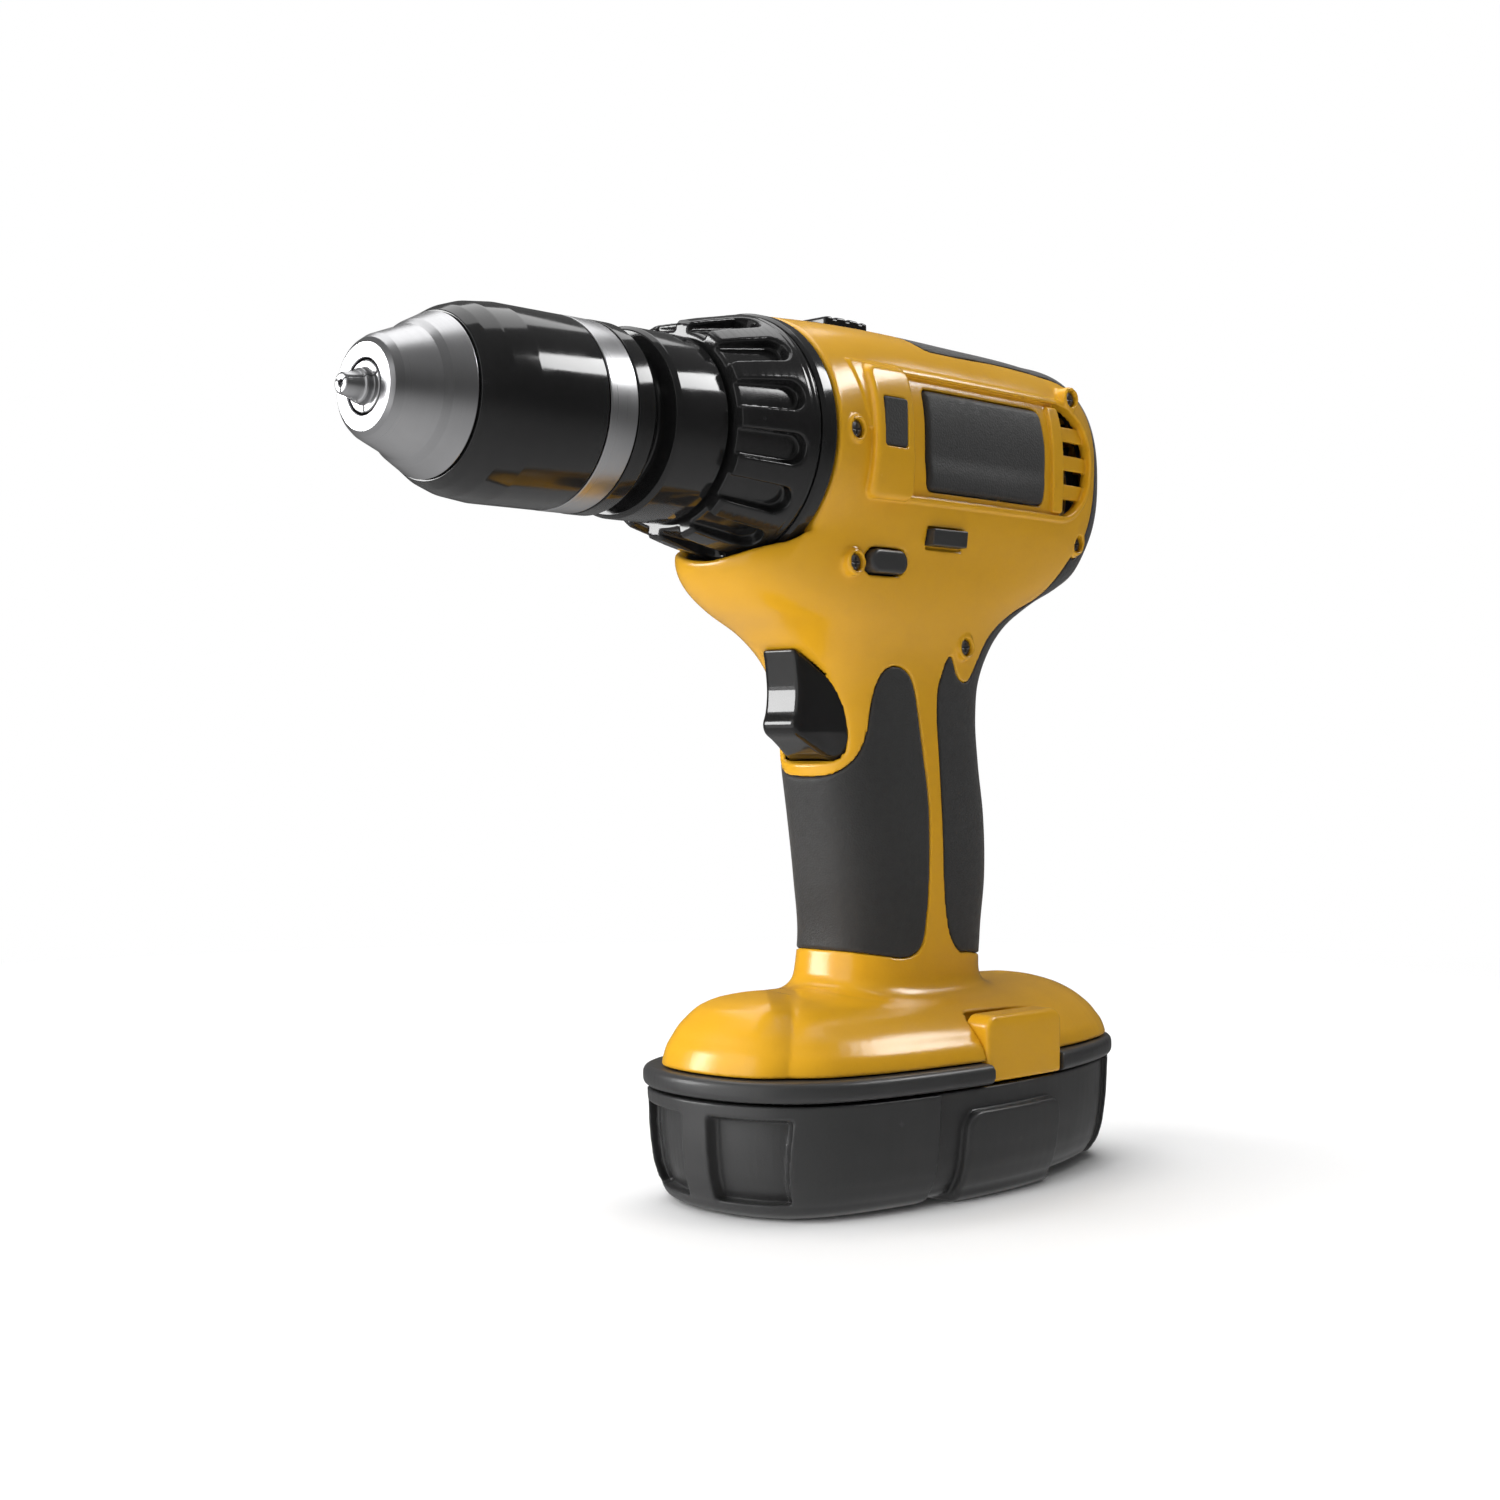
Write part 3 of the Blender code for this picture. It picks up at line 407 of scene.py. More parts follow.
def show(name, points, faces, body, slot, replaced, angle=None, normals=None):
    """Make a visible piece from points in millimetres, shaded with its own normals if they are given."""
    mesh = bpy.data.meshes.new(name)
    world = (points + np.array([0, 0, DATUM])) * MM
    mesh.from_pydata(world.tolist(), [], [list(face) for face in faces])
    if normals is None:
        bm = bmesh.new()
        bm.from_mesh(mesh)
        bmesh.ops.recalc_face_normals(bm, faces=bm.faces)
        bm.to_mesh(mesh)
        bm.free()
    else:
        turn_out(mesh, normals)
    piece = place(name, mesh, body, slot, replaced, angle)
    if normals is not None:
        size = np.linalg.norm(normals, axis=1, keepdims=True)
        mesh.normals_split_custom_set_from_vertices((normals / np.maximum(size, 1e-9)).tolist())
    return piece


def turn_out(mesh, normals):
    """Flip all faces if they point against the normals."""
    count = len(mesh.polygons)
    face_normals = np.zeros(count * 3)
    mesh.polygons.foreach_get("normal", face_normals)
    first = np.zeros(count, int)
    mesh.polygons.foreach_get("loop_start", first)
    corner = np.zeros(len(mesh.loops), int)
    mesh.loops.foreach_get("vertex_index", corner)
    along = (face_normals.reshape(-1, 3) * normals[corner[first]]).sum()
    if along < 0:
        mesh.flip_normals()


def place(name, mesh, body, slot, replaced, angle=None):
    piece = bpy.data.objects.new(name, mesh)
    bpy.context.scene.collection.objects.link(piece)
    mesh.shade_smooth()
    if angle:
        mesh.set_sharp_from_angle(angle=math.radians(angle))
    mesh.materials.append(MATERIALS[slot])
    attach(piece, body)
    if replaced:
        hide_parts(*replaced)
    return piece


def moulded(name, field, low, step, body, slot, replaced, mirror=False, half=False):
    """A piece from its field; half keeps what is on the +Y side, and mirror puts it on the -Y side."""
    points, faces, normals = skin(field, low, step)
    if half:
        points, faces = trimmed(points, faces, [((0, 0, 0), (0, -1, 0))])
        normals = slope(field, low, step, np.maximum(points, np.array(low) + step))
    if mirror:
        points, normals = points * MIRROR, normals * MIRROR
    return show(name, points, faces, body, slot, replaced, normals=normals)


# ---- housing

# Half plans, as (x, y) from the front round to the back
FOOT_NOSE_PLAN = ((-64.7, 0), (-64.2, 6.5), (-62.6, 12.8), (-60, 17.2), (-56.2, 20.4), (-51, 22.2),
                  (-44, 22.6), (-36, 21.8), (-28, 18.6), (-22, 12), (-20, 0))
FOOT_MAIN_PLAN = ((-60, 0), (-59.6, 9), (-58.0, 16.2), (-54.4, 22.4), (-47.8, 27.2), (-36, 30.9),
                  (-22, 33.4), (-8, 34.9), (3, 35.4), (14, 35.0), (24, 33.8), (34, 32.1), (44.5, 30.2),
                  (58.9, 25.8), (68, 19), (73.5, 10), (75.2, 0))
BATTERY_PLAN = ((-67.2, 0), (-66.6, 8), (-64.2, 16), (-59.7, 23.3), (-52.8, 28.6), (-44, 32.2), (-31, 35),
                (-14, 37), (3, 37.8), (19, 37), (34, 34.6), (48, 31.2), (60, 26.6), (69, 19.6), (74.4, 10.3),
                (76, 0))
# Each screw's x, the head's distance from the middle plane, z, and where its shank ends
SCREWS = ((-42, 28.4, 176.2, 22.9), (-37, 23.6, 146.6, 0.5), (45, 24, 193.4, 0.5), (50.4, 22, 156.8, 0.5),
          (9, 18.9, 128.7, 0.5))
REAR_SCREWS = SCREWS[2:4]                # the two whose bosses interrupt the rear grip
FRAME_Z = (161.9, 192.4)                 # the side panel's lower and upper edges
FRAME_ROUND = (38.0, 14.0)               # where its round end starts, and how far it reaches
FINS = ((167.4, 171.2), (174.8, 178.6), (182.2, 186.0))


def whole(plan):
    """A half plan made into a smooth closed outline."""
    return smooth_outline(list(plan) + [(x, -y) for x, y in reversed(plan[1:-1])])


def front_grip_region():
    return smooth_outline([(-60, 56), (-36, 56.8), (-25.4, 55.6), (-16, 54.0), (-9, 53.2), (-4.2, 55.5),
                           (-2.4, 61), (-1.5, 73), (-1.9, 90), (-4.3, 103.5), (-6.8, 114.5),
                           (-9.6, 121.0), (-14.4, 123.5), (-18.6, 122.2), (-20.6, 117.0),
                           (-21.2, 110.4), (-22.0, 105.4), (-23.6, 101.6), (-25.8, 98.6), (-28.6, 96.3),
                           (-33, 96.0), (-60, 96.0)])


def rear_grip_region():
    return smooth_outline([(14.5, 53.2), (10.1, 54.0), (7.0, 57.2), (5.3, 62.4), (4.2, 70), (3.4, 84),
                           (2.0, 101.5), (0.8, 113), (1.2, 120), (4.4, 126.6), (8.5, 121.5),
                           (13.5, 120.5), (17.5, 126), (21, 132.5), (30, 138.5), (41, 143),
                           (47.7, 152.5), (52.8, 158.5), (54.4, 166), (55.4, 175), (56.2, 184),
                           (54.8, 192.5), (50.8, 197.2), (42, 199.4), (22, 200.1), (2, 199.6), (-7.5, 201.4),
                           (-4, 215), (60, 220),
                           (95, 200), (95, 140), (60, 110), (45, 80), (40, 53)])


def trigger_region():
    return smooth_outline([(-60, 99.6), (-44, 99.7), (-30, 100.0), (-26.4, 101.0), (-25.1, 104.0),
                           (-25.4, 108.6), (-27.1, 115), (-30.6, 121.5), (-35.4, 126.3), (-39, 128.4),
                           (-44, 129.8), (-60, 130.5)])


def barrel_field(x, y, z, step):
    stations = np.array([(-60, 29.2, 204.6, 146.2, 2.0), (-47, 29.3, 204.7, 146.1, 2.0),
                         (-38, 28.6, 205.0, 145.6, 2.2), (-20, 27.6, 205.2, 145.2, 2.5),
                         (10, 27.2, 204.8, 145.4, 2.6), (40, 26.8, 204.2, 145.4, 2.5),
                         (53, 25.6, 203.2, 145.8, 2.5), (60.6, 22.0, 200.2, 147.8, 2.4),
                         (66.2, 16.6, 195.0, 152.4, 2.2), (REAR_X, 9.0, 187.0, 160.5, 2.0)])
    half, top, bottom, power = (curve(x, stations[:, 0], stations[:, k]) for k in (1, 2, 3, 4))
    field = squircle(y, z - (top + bottom) / 2, half, (top - bottom) / 2, power)
    return meet(meet(even(field, step), x - REAR_X, 2.0), FLANGE_X - 0.4 - x, 0.3)


def column_field(x, y, z, step):
    stations = np.array([(30, -28, 32, 21, 2.6), (40, -26, 29.5, 18.5, 2.7), (47, -24, 27.5, 17.0, 2.8),
                         (57, -22.5, 28.0, 16.6, 2.8), (72, -24.0, 30.0, 16.8, 2.8),
                         (87, -26.2, 29.5, 17.0, 2.8), (100, -28.4, 27.4, 17.0, 2.8),
                         (112, -29.8, 26.2, 17.2, 2.8), (121, -32.5, 27.2, 17.8, 2.8),
                         (127, -37.5, 30.0, 18.8, 2.8), (131.5, -43.5, 33.0, 20.2, 2.8),
                         (136, -52.5, 38.0, 21.8, 2.8), (140, -58.0, 44.5, 23.0, 2.9),
                         (145, -61.5, 54.0, 24.2, 3.0), (150, -61.0, 60.0, 25.2, 3.1),
                         (156, -54.0, 60.0, 26.0, 3.2), (168, -48.2, 54.0, 25.6, 3.2)])
    front, rear, half, power = (curve(z, stations[:, 0], stations[:, k]) for k in (1, 2, 3, 4))
    field = squircle(x - (front + rear) / 2, y, (rear - front) / 2, half, power)
    return meet(even(field, step), np.abs(z - 99) - 69, 3.0)


def dome_field(plan, x, y, z, rise, step):
    """A low dome over a plan: steep at the rim and nearly level on top."""
    inside = -outline_distance(whole(plan), x[:, :, 0], y[:, :, 0])[:, :, None]
    height = curve(inside, (-3, 0, 0.9, 3.2, 6.8, 11.5, 17.5, 26, 34),
                   (15, 27.6, 31.0, 35.0, 38.6, 41.5, 43.6, 45.0, 45.4))
    lift = rise * np.clip(-x, 0, 64) / FOOT_NOSE * np.clip((z - FOOT_Z) / 14, 0, 1)
    return even(z - height - lift, step)


def body_field(x, y, z, step):
    body = join(barrel_field(x, y, z, step), column_field(x, y, z, step), 6.0)
    nose = dome_field(FOOT_NOSE_PLAN, x, y, z, 3.0, step)
    main = dome_field(FOOT_MAIN_PLAN, x, y, z, 1.6, step)
    body = join(body, join(nose, main, 0.3), 4.0)
    return body


def frame_outline():
    """The side panel: straight above and below, and round at its far end."""
    centre, half = (FRAME_Z[0] + FRAME_Z[1]) / 2, (FRAME_Z[1] - FRAME_Z[0]) / 2
    turns = [math.radians(90 - 180 * i / 28) for i in range(29)]
    arc = [(FRAME_ROUND[0] + FRAME_ROUND[1] * math.cos(a) ** 0.9, centre + half * math.sin(a)) for a in turns]
    return [(-24.0, FRAME_Z[1])] + arc + [(-24.0, FRAME_Z[0])]


def side_outline(points, x, z):
    """Distance to an outline drawn on the side, the same at every depth."""
    return outline_distance(points, x[:, 0, :], z[:, 0, :])[:, None, :]


def grip_distances(x, z):
    """Distances to the two rubber grips' outlines, seen from the side."""
    front = side_outline(front_grip_region(), x, z)
    rear = side_outline(rear_grip_region(), x, z)
    for sx, _, sz, _ in REAR_SCREWS:
        rear = np.maximum(rear, 3.7 - np.hypot(x - sx, z - sz))
    return {"front_grip": front, "rear_grip": rear}


def with_raised(shell, body, panel, x, y, z, with_screws):
    """The shell with its side panel sunk in, and what stands proud of it."""
    shell = cut(shell, meet(panel, -(body + 1.0), 0.3), 0.35)
    shell = join(shell, meet(body - 0.45, np.abs(panel + 0.1) - 0.8, 0.5), 0.35)
    wedge = meet(rectangle(x, z, -41.6, -22.0, 177.0, 193.0, 1.2), -40.5 + (193 - z) * 0.2 - x, 0.4)
    shell = join(shell, meet(body - 0.6, wedge, 0.5), 0.5)
    block = rectangle(x, z, -36.6, -22.2, 161.2, 192.2, 2.4)
    shell = join(shell, meet(body - 2.2, block, 1.5), 0.5)
    vent_rib = rectangle(x, z, 34.6, 39.2, 163.4, 190.4, 0.7)
    shell = join(shell, meet(body - 0.1, vent_rib, 0.4), 0.3)
    if with_screws:
        for sx, depth, sz, _ in SCREWS:
            boss = meet(np.hypot(x - sx, z - sz) - 3.1, y - depth - 1.3, 0.8)
            shell = join(shell, meet(boss, depth - 8 - y), 0.7)
    return shell


def with_seats(shell, body, x, y, z):
    """The shell hollowed out, with the seats of its rubber pieces."""
    shell = cut(shell, meet(body + SKIN, -45.5 - x))
    shell = cut(shell, meet(np.hypot(y, z - AXIS_Z) - GEARBOX_R, x + 44.0))
    for region in grip_distances(x, z).values():
        shell = cut(shell, meet(region, -(body + RUBBER)), 0.3)
    return cut(shell, meet(pad_distance(x, z) - 0.25, -(body + RUBBER + 0.9)), 0.3)


def with_openings(shell, body, panel, x, y, z):
    """The shell with its vent, trigger mouth, button hole, selector seat and latch pocket."""
    vent = meet(panel + 0.9, 39.4 - x, 0.2)
    shell = cut(shell, meet(cut(vent, fins(z), 0.2), 14 - y), 0.2)
    shell = cut(shell, meet(vent, -(body + 1.3)), 0.2)
    shell = cut(shell, side_outline(trigger_region(), x, z), 0.5)
    trigger_way = meet(rectangle(x, z, -70, -15, 100.8, 127, 0.4), y - 11.7)
    shell = cut(shell, meet(trigger_way, body + 1.2))
    button_hole = rectangle(x, z, -33.4, -19.4, 144.1, 150.5, 3.1)
    shell = cut(shell, meet(button_hole, 15 - y), 0.3)
    shell = cut(shell, meet(selector_seat(x, y), 201.3 - z), 0.3)
    latch_pocket = rectangle(x, z, -2.12, 27.12, 10, 40.12, 3.4)
    return cut(shell, meet(latch_pocket, 25.6 - y), 0.15)


def with_left_seats(shell, x, y, z):
    """The left shell with the seats of its lug and inlay and its screw holes."""
    shell = cut(shell, meet(rectangle(x, z, -13.9, -0.3, 151.2, 156.4, 0.4), 24.6 - y))
    inlay_seat = rectangle(x, z, *INLAY_X, *INLAY_Z, 0.8) - 0.15
    shell = cut(shell, meet(inlay_seat, 26.6 - y), 0.2)
    for sx, depth, sz, _ in SCREWS:
        reach = np.hypot(x - sx, z - sz)
        shell = cut(shell, meet(reach - 2.15, depth - 2.2 - y), 0.25)
        shell = cut(shell, reach - 1.5)
    return shell


def selector_seat(x, y):
    return rectangle(x, y, -34.1, 0.6, -7.3, 7.3, 0.6)


def shell_field(x, y, z, step, is_left):
    """One half of the housing over the grid, and the plain body it is cut from."""
    body = body_field(x, y, z, step)
    panel = side_outline(frame_outline(), x, z)
    clutch_room = np.hypot(y, z - AXIS_Z) - FLANGE_R - np.clip((x + 53) * 0.18, -1.7, 0)
    shell = cut(body, meet(clutch_room, x - FLANGE_X, 0.8), 1.4)
    shell = meet(shell, FOOT_Z - z, 0.3)
    shell = with_raised(shell, body, panel, x, y, z, is_left)
    shell = with_seats(shell, body, x, y, z)
    shell = with_openings(shell, body, panel, x, y, z)
    if is_left:
        shell = with_left_seats(shell, x, y, z)
    return shell, body


def shell_layer(low, high, step, is_left, planes, keep, scored=()):
    """One layer of a shell's mesh: cut by the planes, and kept where keep(centres, depths) says so."""
    x, y, z = axes(low, high, step)
    shell, body = shell_field(x, y, z, step, is_left)
    points, faces, _ = skin(shell, low, step)
    points, faces = trimmed(points, faces, planes, scored)
    middle = centres(points, faces)
    kept = keep(middle, sampled(body, low, step, middle))
    faces = [face for face, stays in zip(faces, kept) if stays]
    used = np.unique(np.concatenate([np.array(face) for face in faces]))
    number = np.full(len(points), -1)
    number[used] = np.arange(len(used))
    points = points[used]
    normals = slope(shell, low, step, np.clip(points, np.array(low) + step, None))
    return points, [number[face].tolist() for face in faces], normals


def in_panel(middle):
    return ((middle[:, 0] > PANEL_LOW[0]) & (middle[:, 0] < PANEL_HIGH[0])
            & (middle[:, 2] > PANEL_LOW[1]) & (middle[:, 2] < PANEL_HIGH[1]))


def make_shell(label, is_left):
    """Half the housing, in three layers: finest over the side panel, plain outside and coarse inside."""
    (x0, z0), (x1, z1) = PANEL_LOW, PANEL_HIGH
    middle_plane = ((0, 0, 0), (0, -1, 0))
    window = [((x0, 0, 0), (-1, 0, 0)), ((x1, 0, 0), (1, 0, 0)),
              ((0, 0, z0), (0, 0, -1)), ((0, 0, z1), (0, 0, 1))]
    layers = [
        shell_layer((-67.0, -1.4, 26.0), (74.0, 39.5, 208.5), 0.64, is_left, [middle_plane],
                    lambda middle, depth: (depth > OUTSIDE) & ~in_panel(middle), window),
        shell_layer((x0 - 1, 12.0, z0 - 1), (x1 + 1, 32.5, z1 + 1), 0.33, is_left, window,
                    lambda middle, depth: depth > OUTSIDE),
        shell_layer((-68.0, -3.0, 25.0), (75.0, 40.5, 209.5), 1.5, is_left, [middle_plane],
                    lambda middle, depth: depth <= OUTSIDE)]
    points = np.concatenate([layer[0] for layer in layers])
    normals = np.concatenate([layer[2] for layer in layers])
    faces = []
    start = 0
    for layer_points, layer_faces, _ in layers:
        faces += [[i + start for i in face] for face in layer_faces]
        start += len(layer_points)
    if is_left:
        points, normals = points * MIRROR, normals * MIRROR
        faces = [face[::-1] for face in faces]
    case = show("shell_" + label, points, faces, "housing", "yellow_plastic", ["housing_" + label],
                normals=normals)
    # The coarse inside layer's faces high in the barrel get the dark case plastic: painted shade inside the
    # yellow housing, seen through the vents.
    case.data.materials.append(MATERIALS["case_plastic"])
    inside = np.zeros(len(faces), np.int32)
    inside[len(faces) - len(layers[2][1]):] = centres(*layers[2][:2])[:, 2] > PAINTED_SHADE_Z
    case.data.polygons.foreach_set("material_index", inside)


def make_housing():
    """Both halves, their grips and their pads."""
    make_shell("left", True)
    make_shell("right", False)
    step = 0.64
    low, high = (-67.0, -1.4, 50.0), (74.0, 39.5, 208.5)
    x, y, z = axes(low, high, step)
    body = body_field(x, y, z, step)
    mouth = side_outline(trigger_region(), x, z)
    for piece, region in grip_distances(x, z).items():
        rubber_skin = meet(meet(body, region + 0.1, 0.6), -(body + RUBBER - 0.25))
        rubber_skin = cut(rubber_skin, mouth - 0.2)
        rubber_skin = cut(rubber_skin, meet(selector_seat(x, y), 200.5 - z))
        for label, mirror in SIDES:
            moulded(piece + "_skin_" + label, rubber_skin, low, step, "housing", "soft_rubber",
                    [piece + "_" + label], mirror, True)
    step = 0.36
    low, high = (-17.0, 18.0, 162.0), (34.0, 30.0, 191.5)
    x, y, z = axes(low, high, step)
    body = body_field(x, y, z, step)
    cushion = meet(meet(body + 0.2, pad_distance(x, z) + 0.1, 1.6), -(body + RUBBER + 0.8))
    for label, mirror in SIDES:
        moulded("pad_skin_" + label, cushion, low, step, "housing", "soft_rubber",
                ["side_pad_" + label], mirror)


def pad_distance(x, z):
    """The side pad: a rectangle with its far end bowed a little outwards."""
    bow = 1.3 * (1 - ((z - 177) / 12) ** 2)
    return rectangle(x - np.where(x > 20, bow, 0), z, -14.6, 30.8, 164.7, 188.8, 1.8)


def fins(z):
    """Distance to the vent's crossing bars."""
    return np.minimum.reduce([np.abs(z - (z0 + z1) / 2) - (z1 - z0) / 2 for z0, z1 in FINS])


# ---- turned pieces

def rounded(profile, radius, steps=5):
    """A closed (x, r) profile with each corner turned into an arc, as large as its sides allow."""
    result = []
    count = len(profile)
    for i, here in enumerate(profile):
        p = np.array(here[:2], float)
        size = here[2] if len(here) > 2 else radius
        a = np.array(profile[i - 1][:2], float) - p
        b = np.array(profile[(i + 1) % count][:2], float) - p
        la, lb = np.linalg.norm(a), np.linalg.norm(b)
        a, b = a / la, b / lb
        turn = math.acos(max(-1.0, min(1.0, float(a @ b))))
        if size <= 0 or turn > math.radians(176):
            result.append(tuple(p))
            continue
        back = min(size / math.tan(turn / 2), 0.45 * la, 0.45 * lb)
        for k in range(steps + 1):
            t = k / steps
            q = (1 - t) ** 2 * (p + a * back) + 2 * t * (1 - t) * p + t * t * (p + b * back)
            result.append(tuple(q))
    return result


def turned(name, profile, body, slot, replaced, radius=0.25, segments=144, angle=38):
    """A piece of revolution about the drill's axis, with its corners rounded."""
    outline = rounded(profile, radius)
    rings = len(outline)
    turn = np.linspace(0, 2 * math.pi, segments, endpoint=False)
    points = np.concatenate([np.stack([np.full(segments, x), r * np.cos(turn), AXIS_Z + r * np.sin(turn)], 1)
                             for x, r in outline])
    quads = []
    for i in range(rings):
        for k in range(segments):
            a, b = i * segments + k, i * segments + (k + 1) % segments
            c, d = (i + 1) % rings * segments + (k + 1) % segments, (i + 1) % rings * segments + k
            quads.append((a, b, c, d))
    return show(name, points, quads, body, slot, replaced, angle)


def make_chuck():
    turned("chuck_cone", [(-157.0, 5.7, 0.3), (-157.0, 8.9, 0.35), (-156.3, 9.9, 0.8),
                          (-154.8, 10.9, 0.8),
                          (-147.4, 13.7, 0.5), (-146.0, 14.9, 0.8), (-141.4, 17.2, 0.25), (-141.2, 16.2, 0.1),
                          (-106.0, 16.2), (-106.0, 12.0), (-95.8, 12.0), (-95.8, 5.8),
                          (-112.0, 5.8), (-112.0, 15.6), (-138.0, 15.6), (-155.8, 8.2), (-156.2, 5.7)],
           "chuck", "brushed_steel", ["chuck_body"], 0.2)
    turned("grip_sleeve", [(-140.9, 16.5, 0.1), (-140.9, 17.5, 0.3), (-138.4, 18.9, 2.5),
                           (-134.5, 20.15, 4.0),
                           (-128.0, 20.9, 5.0), (-109.9, 20.9, 0.35), (-109.9, 18.6), (-133.0, 18.6),
                           (-133.0, 16.5)],
           "sleeve", "gloss_black", ["chuck_sleeve"], 0.2)
    turned("steel_band", [(-109.6, 18.9), (-109.6, 20.95, 0.3), (-101.9, 20.95, 0.3), (-101.9, 18.9)],
           "sleeve", "brushed_steel", ["sleeve_band"])
    turned("rear_ring", [(-101.6, 12.3), (-101.6, 21.05, 0.25), (-97.2, 21.05, 0.5), (-96.0, 20.2, 0.4),
                         (-96.0, 12.3)],
           "chuck", "gloss_black", ["chuck_rear_ring"])


def make_jaws():
    """Three jaws closed on each other: a stepped pin in front, and round bars in the chuck's channels."""
    step = 0.26
    low, high = (-163.2, -5.6, AXIS_Z - 5.6), (-135.4, 5.6, AXIS_Z + 14.4)
    x, y, z = axes(low, high, step)
    z = z - AXIS_Z
    radius = np.hypot(y, z)
    out = 2.0 + (x + 162.5) * math.tan(math.radians(17.0))
    bar = meet(np.hypot(y, z - out) - 3.1, np.abs(x + 149.7) - 5.2, 0.2)
    pin = meet(radius - 2.25 - (x + 162.5) * 0.16, np.abs(x + 159.9) - 2.6, 0.7)
    collar = meet(radius - 3.6, np.abs(x + 157.3) - 1.3, 0.5)
    seat = meet(radius - 5.3, np.abs(x + 156.15) - 0.75, 0.3)
    jaw = join(join(join(pin, collar, 0.3), seat, 0.3), bar, 0.3)
    jaw = cut(jaw, meet(radius - 0.65, x + 161.2), 0.2)
    third = np.abs(y) * 0.5 - z * 0.866 + 0.04
    jaw = meet(jaw, third)
    points, faces, normals = skin(jaw, low, step)
    points[:, 2] -= AXIS_Z
    for number, letter in enumerate("abc"):
        turn = number * 2 * math.pi / 3
        c, s = math.cos(turn), math.sin(turn)
        spin = np.array([[1, 0, 0], [0, c, s], [0, -s, c]])
        show("jaw_tip_%d" % (number + 1), points @ spin + np.array([0, 0, AXIS_Z]), faces,
             "jaw_" + letter, "brushed_steel", ["jaw_%d" % (number + 1)], normals=normals @ spin)


def make_collar():
    turned("front_collar", [(-95.2, 9.4), (-95.2, 15.5, 0.5), (-91.0, 15.5, 0.8), (-90.4, 16.4, 0.3),
                            (-90.4, 20.4, 0.5), (-89.4, 21.2, 0.7), (-75.5, 21.2, 0.2), (-75.5, 9.4)],
           "housing", "gloss_black", ["gearbox_collar"])
    turned("flange_band", [(-53.1, 22.8), (-53.1, 28.6, 0.2), (-52.3, 29.2, 0.4), (-49.2, 29.2, 0.5),
                           (-48.3, 28.7, 0.3), (-48.3, 22.8)],
           "housing", "gloss_black", ["front_flange"])


CLUTCH_PROFILE = ((-74.0, 16.5), (-74.0, 23.9), (-73.0, 24.9), (-68.0, 26.1), (-62.0, 27.3), (-57.0, 28.3),
                  (-54.6, 28.8), (-53.4, 28.6), (-53.4, 19.5), (-72.0, 19.5), (-72.0, 16.5))
FLUTES = 14
FLUTE_PHASE = 11.4


def make_clutch():
    """The ring with its pockets: long, flat-floored and round-ended, open at the front."""
    step = 0.42
    low, high = (-75.4, -30.0, AXIS_Z - 30.0), (-52.2, 30.0, AXIS_Z + 30.0)
    x, y, z = axes(low, high, step)
    radius = np.hypot(y, z - AXIS_Z)
    line_x = np.arange(low[0], high[0] + 1, 0.1, dtype=np.float32)
    line_r = np.arange(14, 32, 0.1, dtype=np.float32)
    section = outline_distance(list(CLUTCH_PROFILE), line_x[:, None], line_r[None, :])
    column = np.clip(((x - line_x[0]) / 0.1).astype(int), 0, len(line_x) - 1)
    across = np.clip((radius - 14) / 0.1, 0, len(line_r) - 1.001)
    first = across.astype(int)
    part = across - first
    ring = section[column, first] * (1 - part) + section[column, first + 1] * part
    ring = even(ring, step) + 0.12
    pitch = 2 * math.pi / FLUTES
    turn = np.arctan2(z - AXIS_Z, y) - math.radians(FLUTE_PHASE)
    offset = (turn + pitch / 2) % pitch - pitch / 2
    across = offset * 26.6
    outline = rectangle(x, across, -84.0, -57.2, -3.3, 3.3, 3.2)
    floor = 22.6 + (x + 74) * 0.15
    pocket = meet(outline, floor - radius, 0.7)
    ring = cut(ring, pocket, 0.8)
    seam = np.hypot(x + 55.6, radius - 28.75) - 0.34
    ring = cut(ring, seam, 0.3)
    moulded("clutch_grip", ring, low, step, "clutch", "gloss_black", ["clutch_ring"])


# ---- controls

def make_trigger():
    step = 0.36
    low, high = (-39.6, -13.0, 99.5), (0.5, 13.0, 128.8)
    x, y, z = axes(low, high, step)
    side = smooth_outline([(-37.5, 127.2), (-37.0, 123.5), (-36.3, 117.5), (-36.8, 112.6), (-37.8, 109.6),
                           (-36.9, 107.2), (-34.0, 105.4), (-31.0, 103.6), (-28.0, 101.8), (-25.6, 100.9),
                           (-22.4, 100.9), (-19.2, 101.2), (-18.6, 116.0), (-22.0, 118.9), (-27.2, 119.2),
                           (-30.6, 122.2), (-34.2, 125.6)], 5)
    face = side_outline(side, x, z)
    plan = [(-18.4, 11.2), (-23.0, 11.2), (-26.2, 10.9), (-29.0, 9.4), (-31.8, 7.4), (-34.2, 6.2),
            (-36.0, 5.6), (-39, 5.4)]
    slant = np.clip(107.6 - z, 0, 8) * 0.8
    sides = outline_distance(plan + [(a, -b) for a, b in reversed(plan)], np.minimum(x, -19.0) - slant, y)
    body = meet(face, sides, 1.3)
    plunger = meet(np.hypot(y, z - 112.0) - 2.0, np.abs(x + 10.5) - 9.4, 0.3)
    moulded("trigger_lever", join(body, plunger, 0.3), low, step, "trigger_body", "gloss_black", ["trigger"])


def make_button():
    step = 0.4
    low, high = (-34.2, -27.4, 143.4), (-18.6, 27.4, 151.4)
    x, y, z = axes(low, high, step)
    pill = rectangle(x, z, -33.0, -19.8, 144.5, 150.1, 2.75)
    face = 25.9 - (x + 26.4) * 0.02 - (x + 26.4) ** 2 * 0.006
    button = meet(pill, np.abs(y) - face, 1.2)
    moulded("direction_bar", button, low, step, "direction", "case_plastic", ["direction_button"])


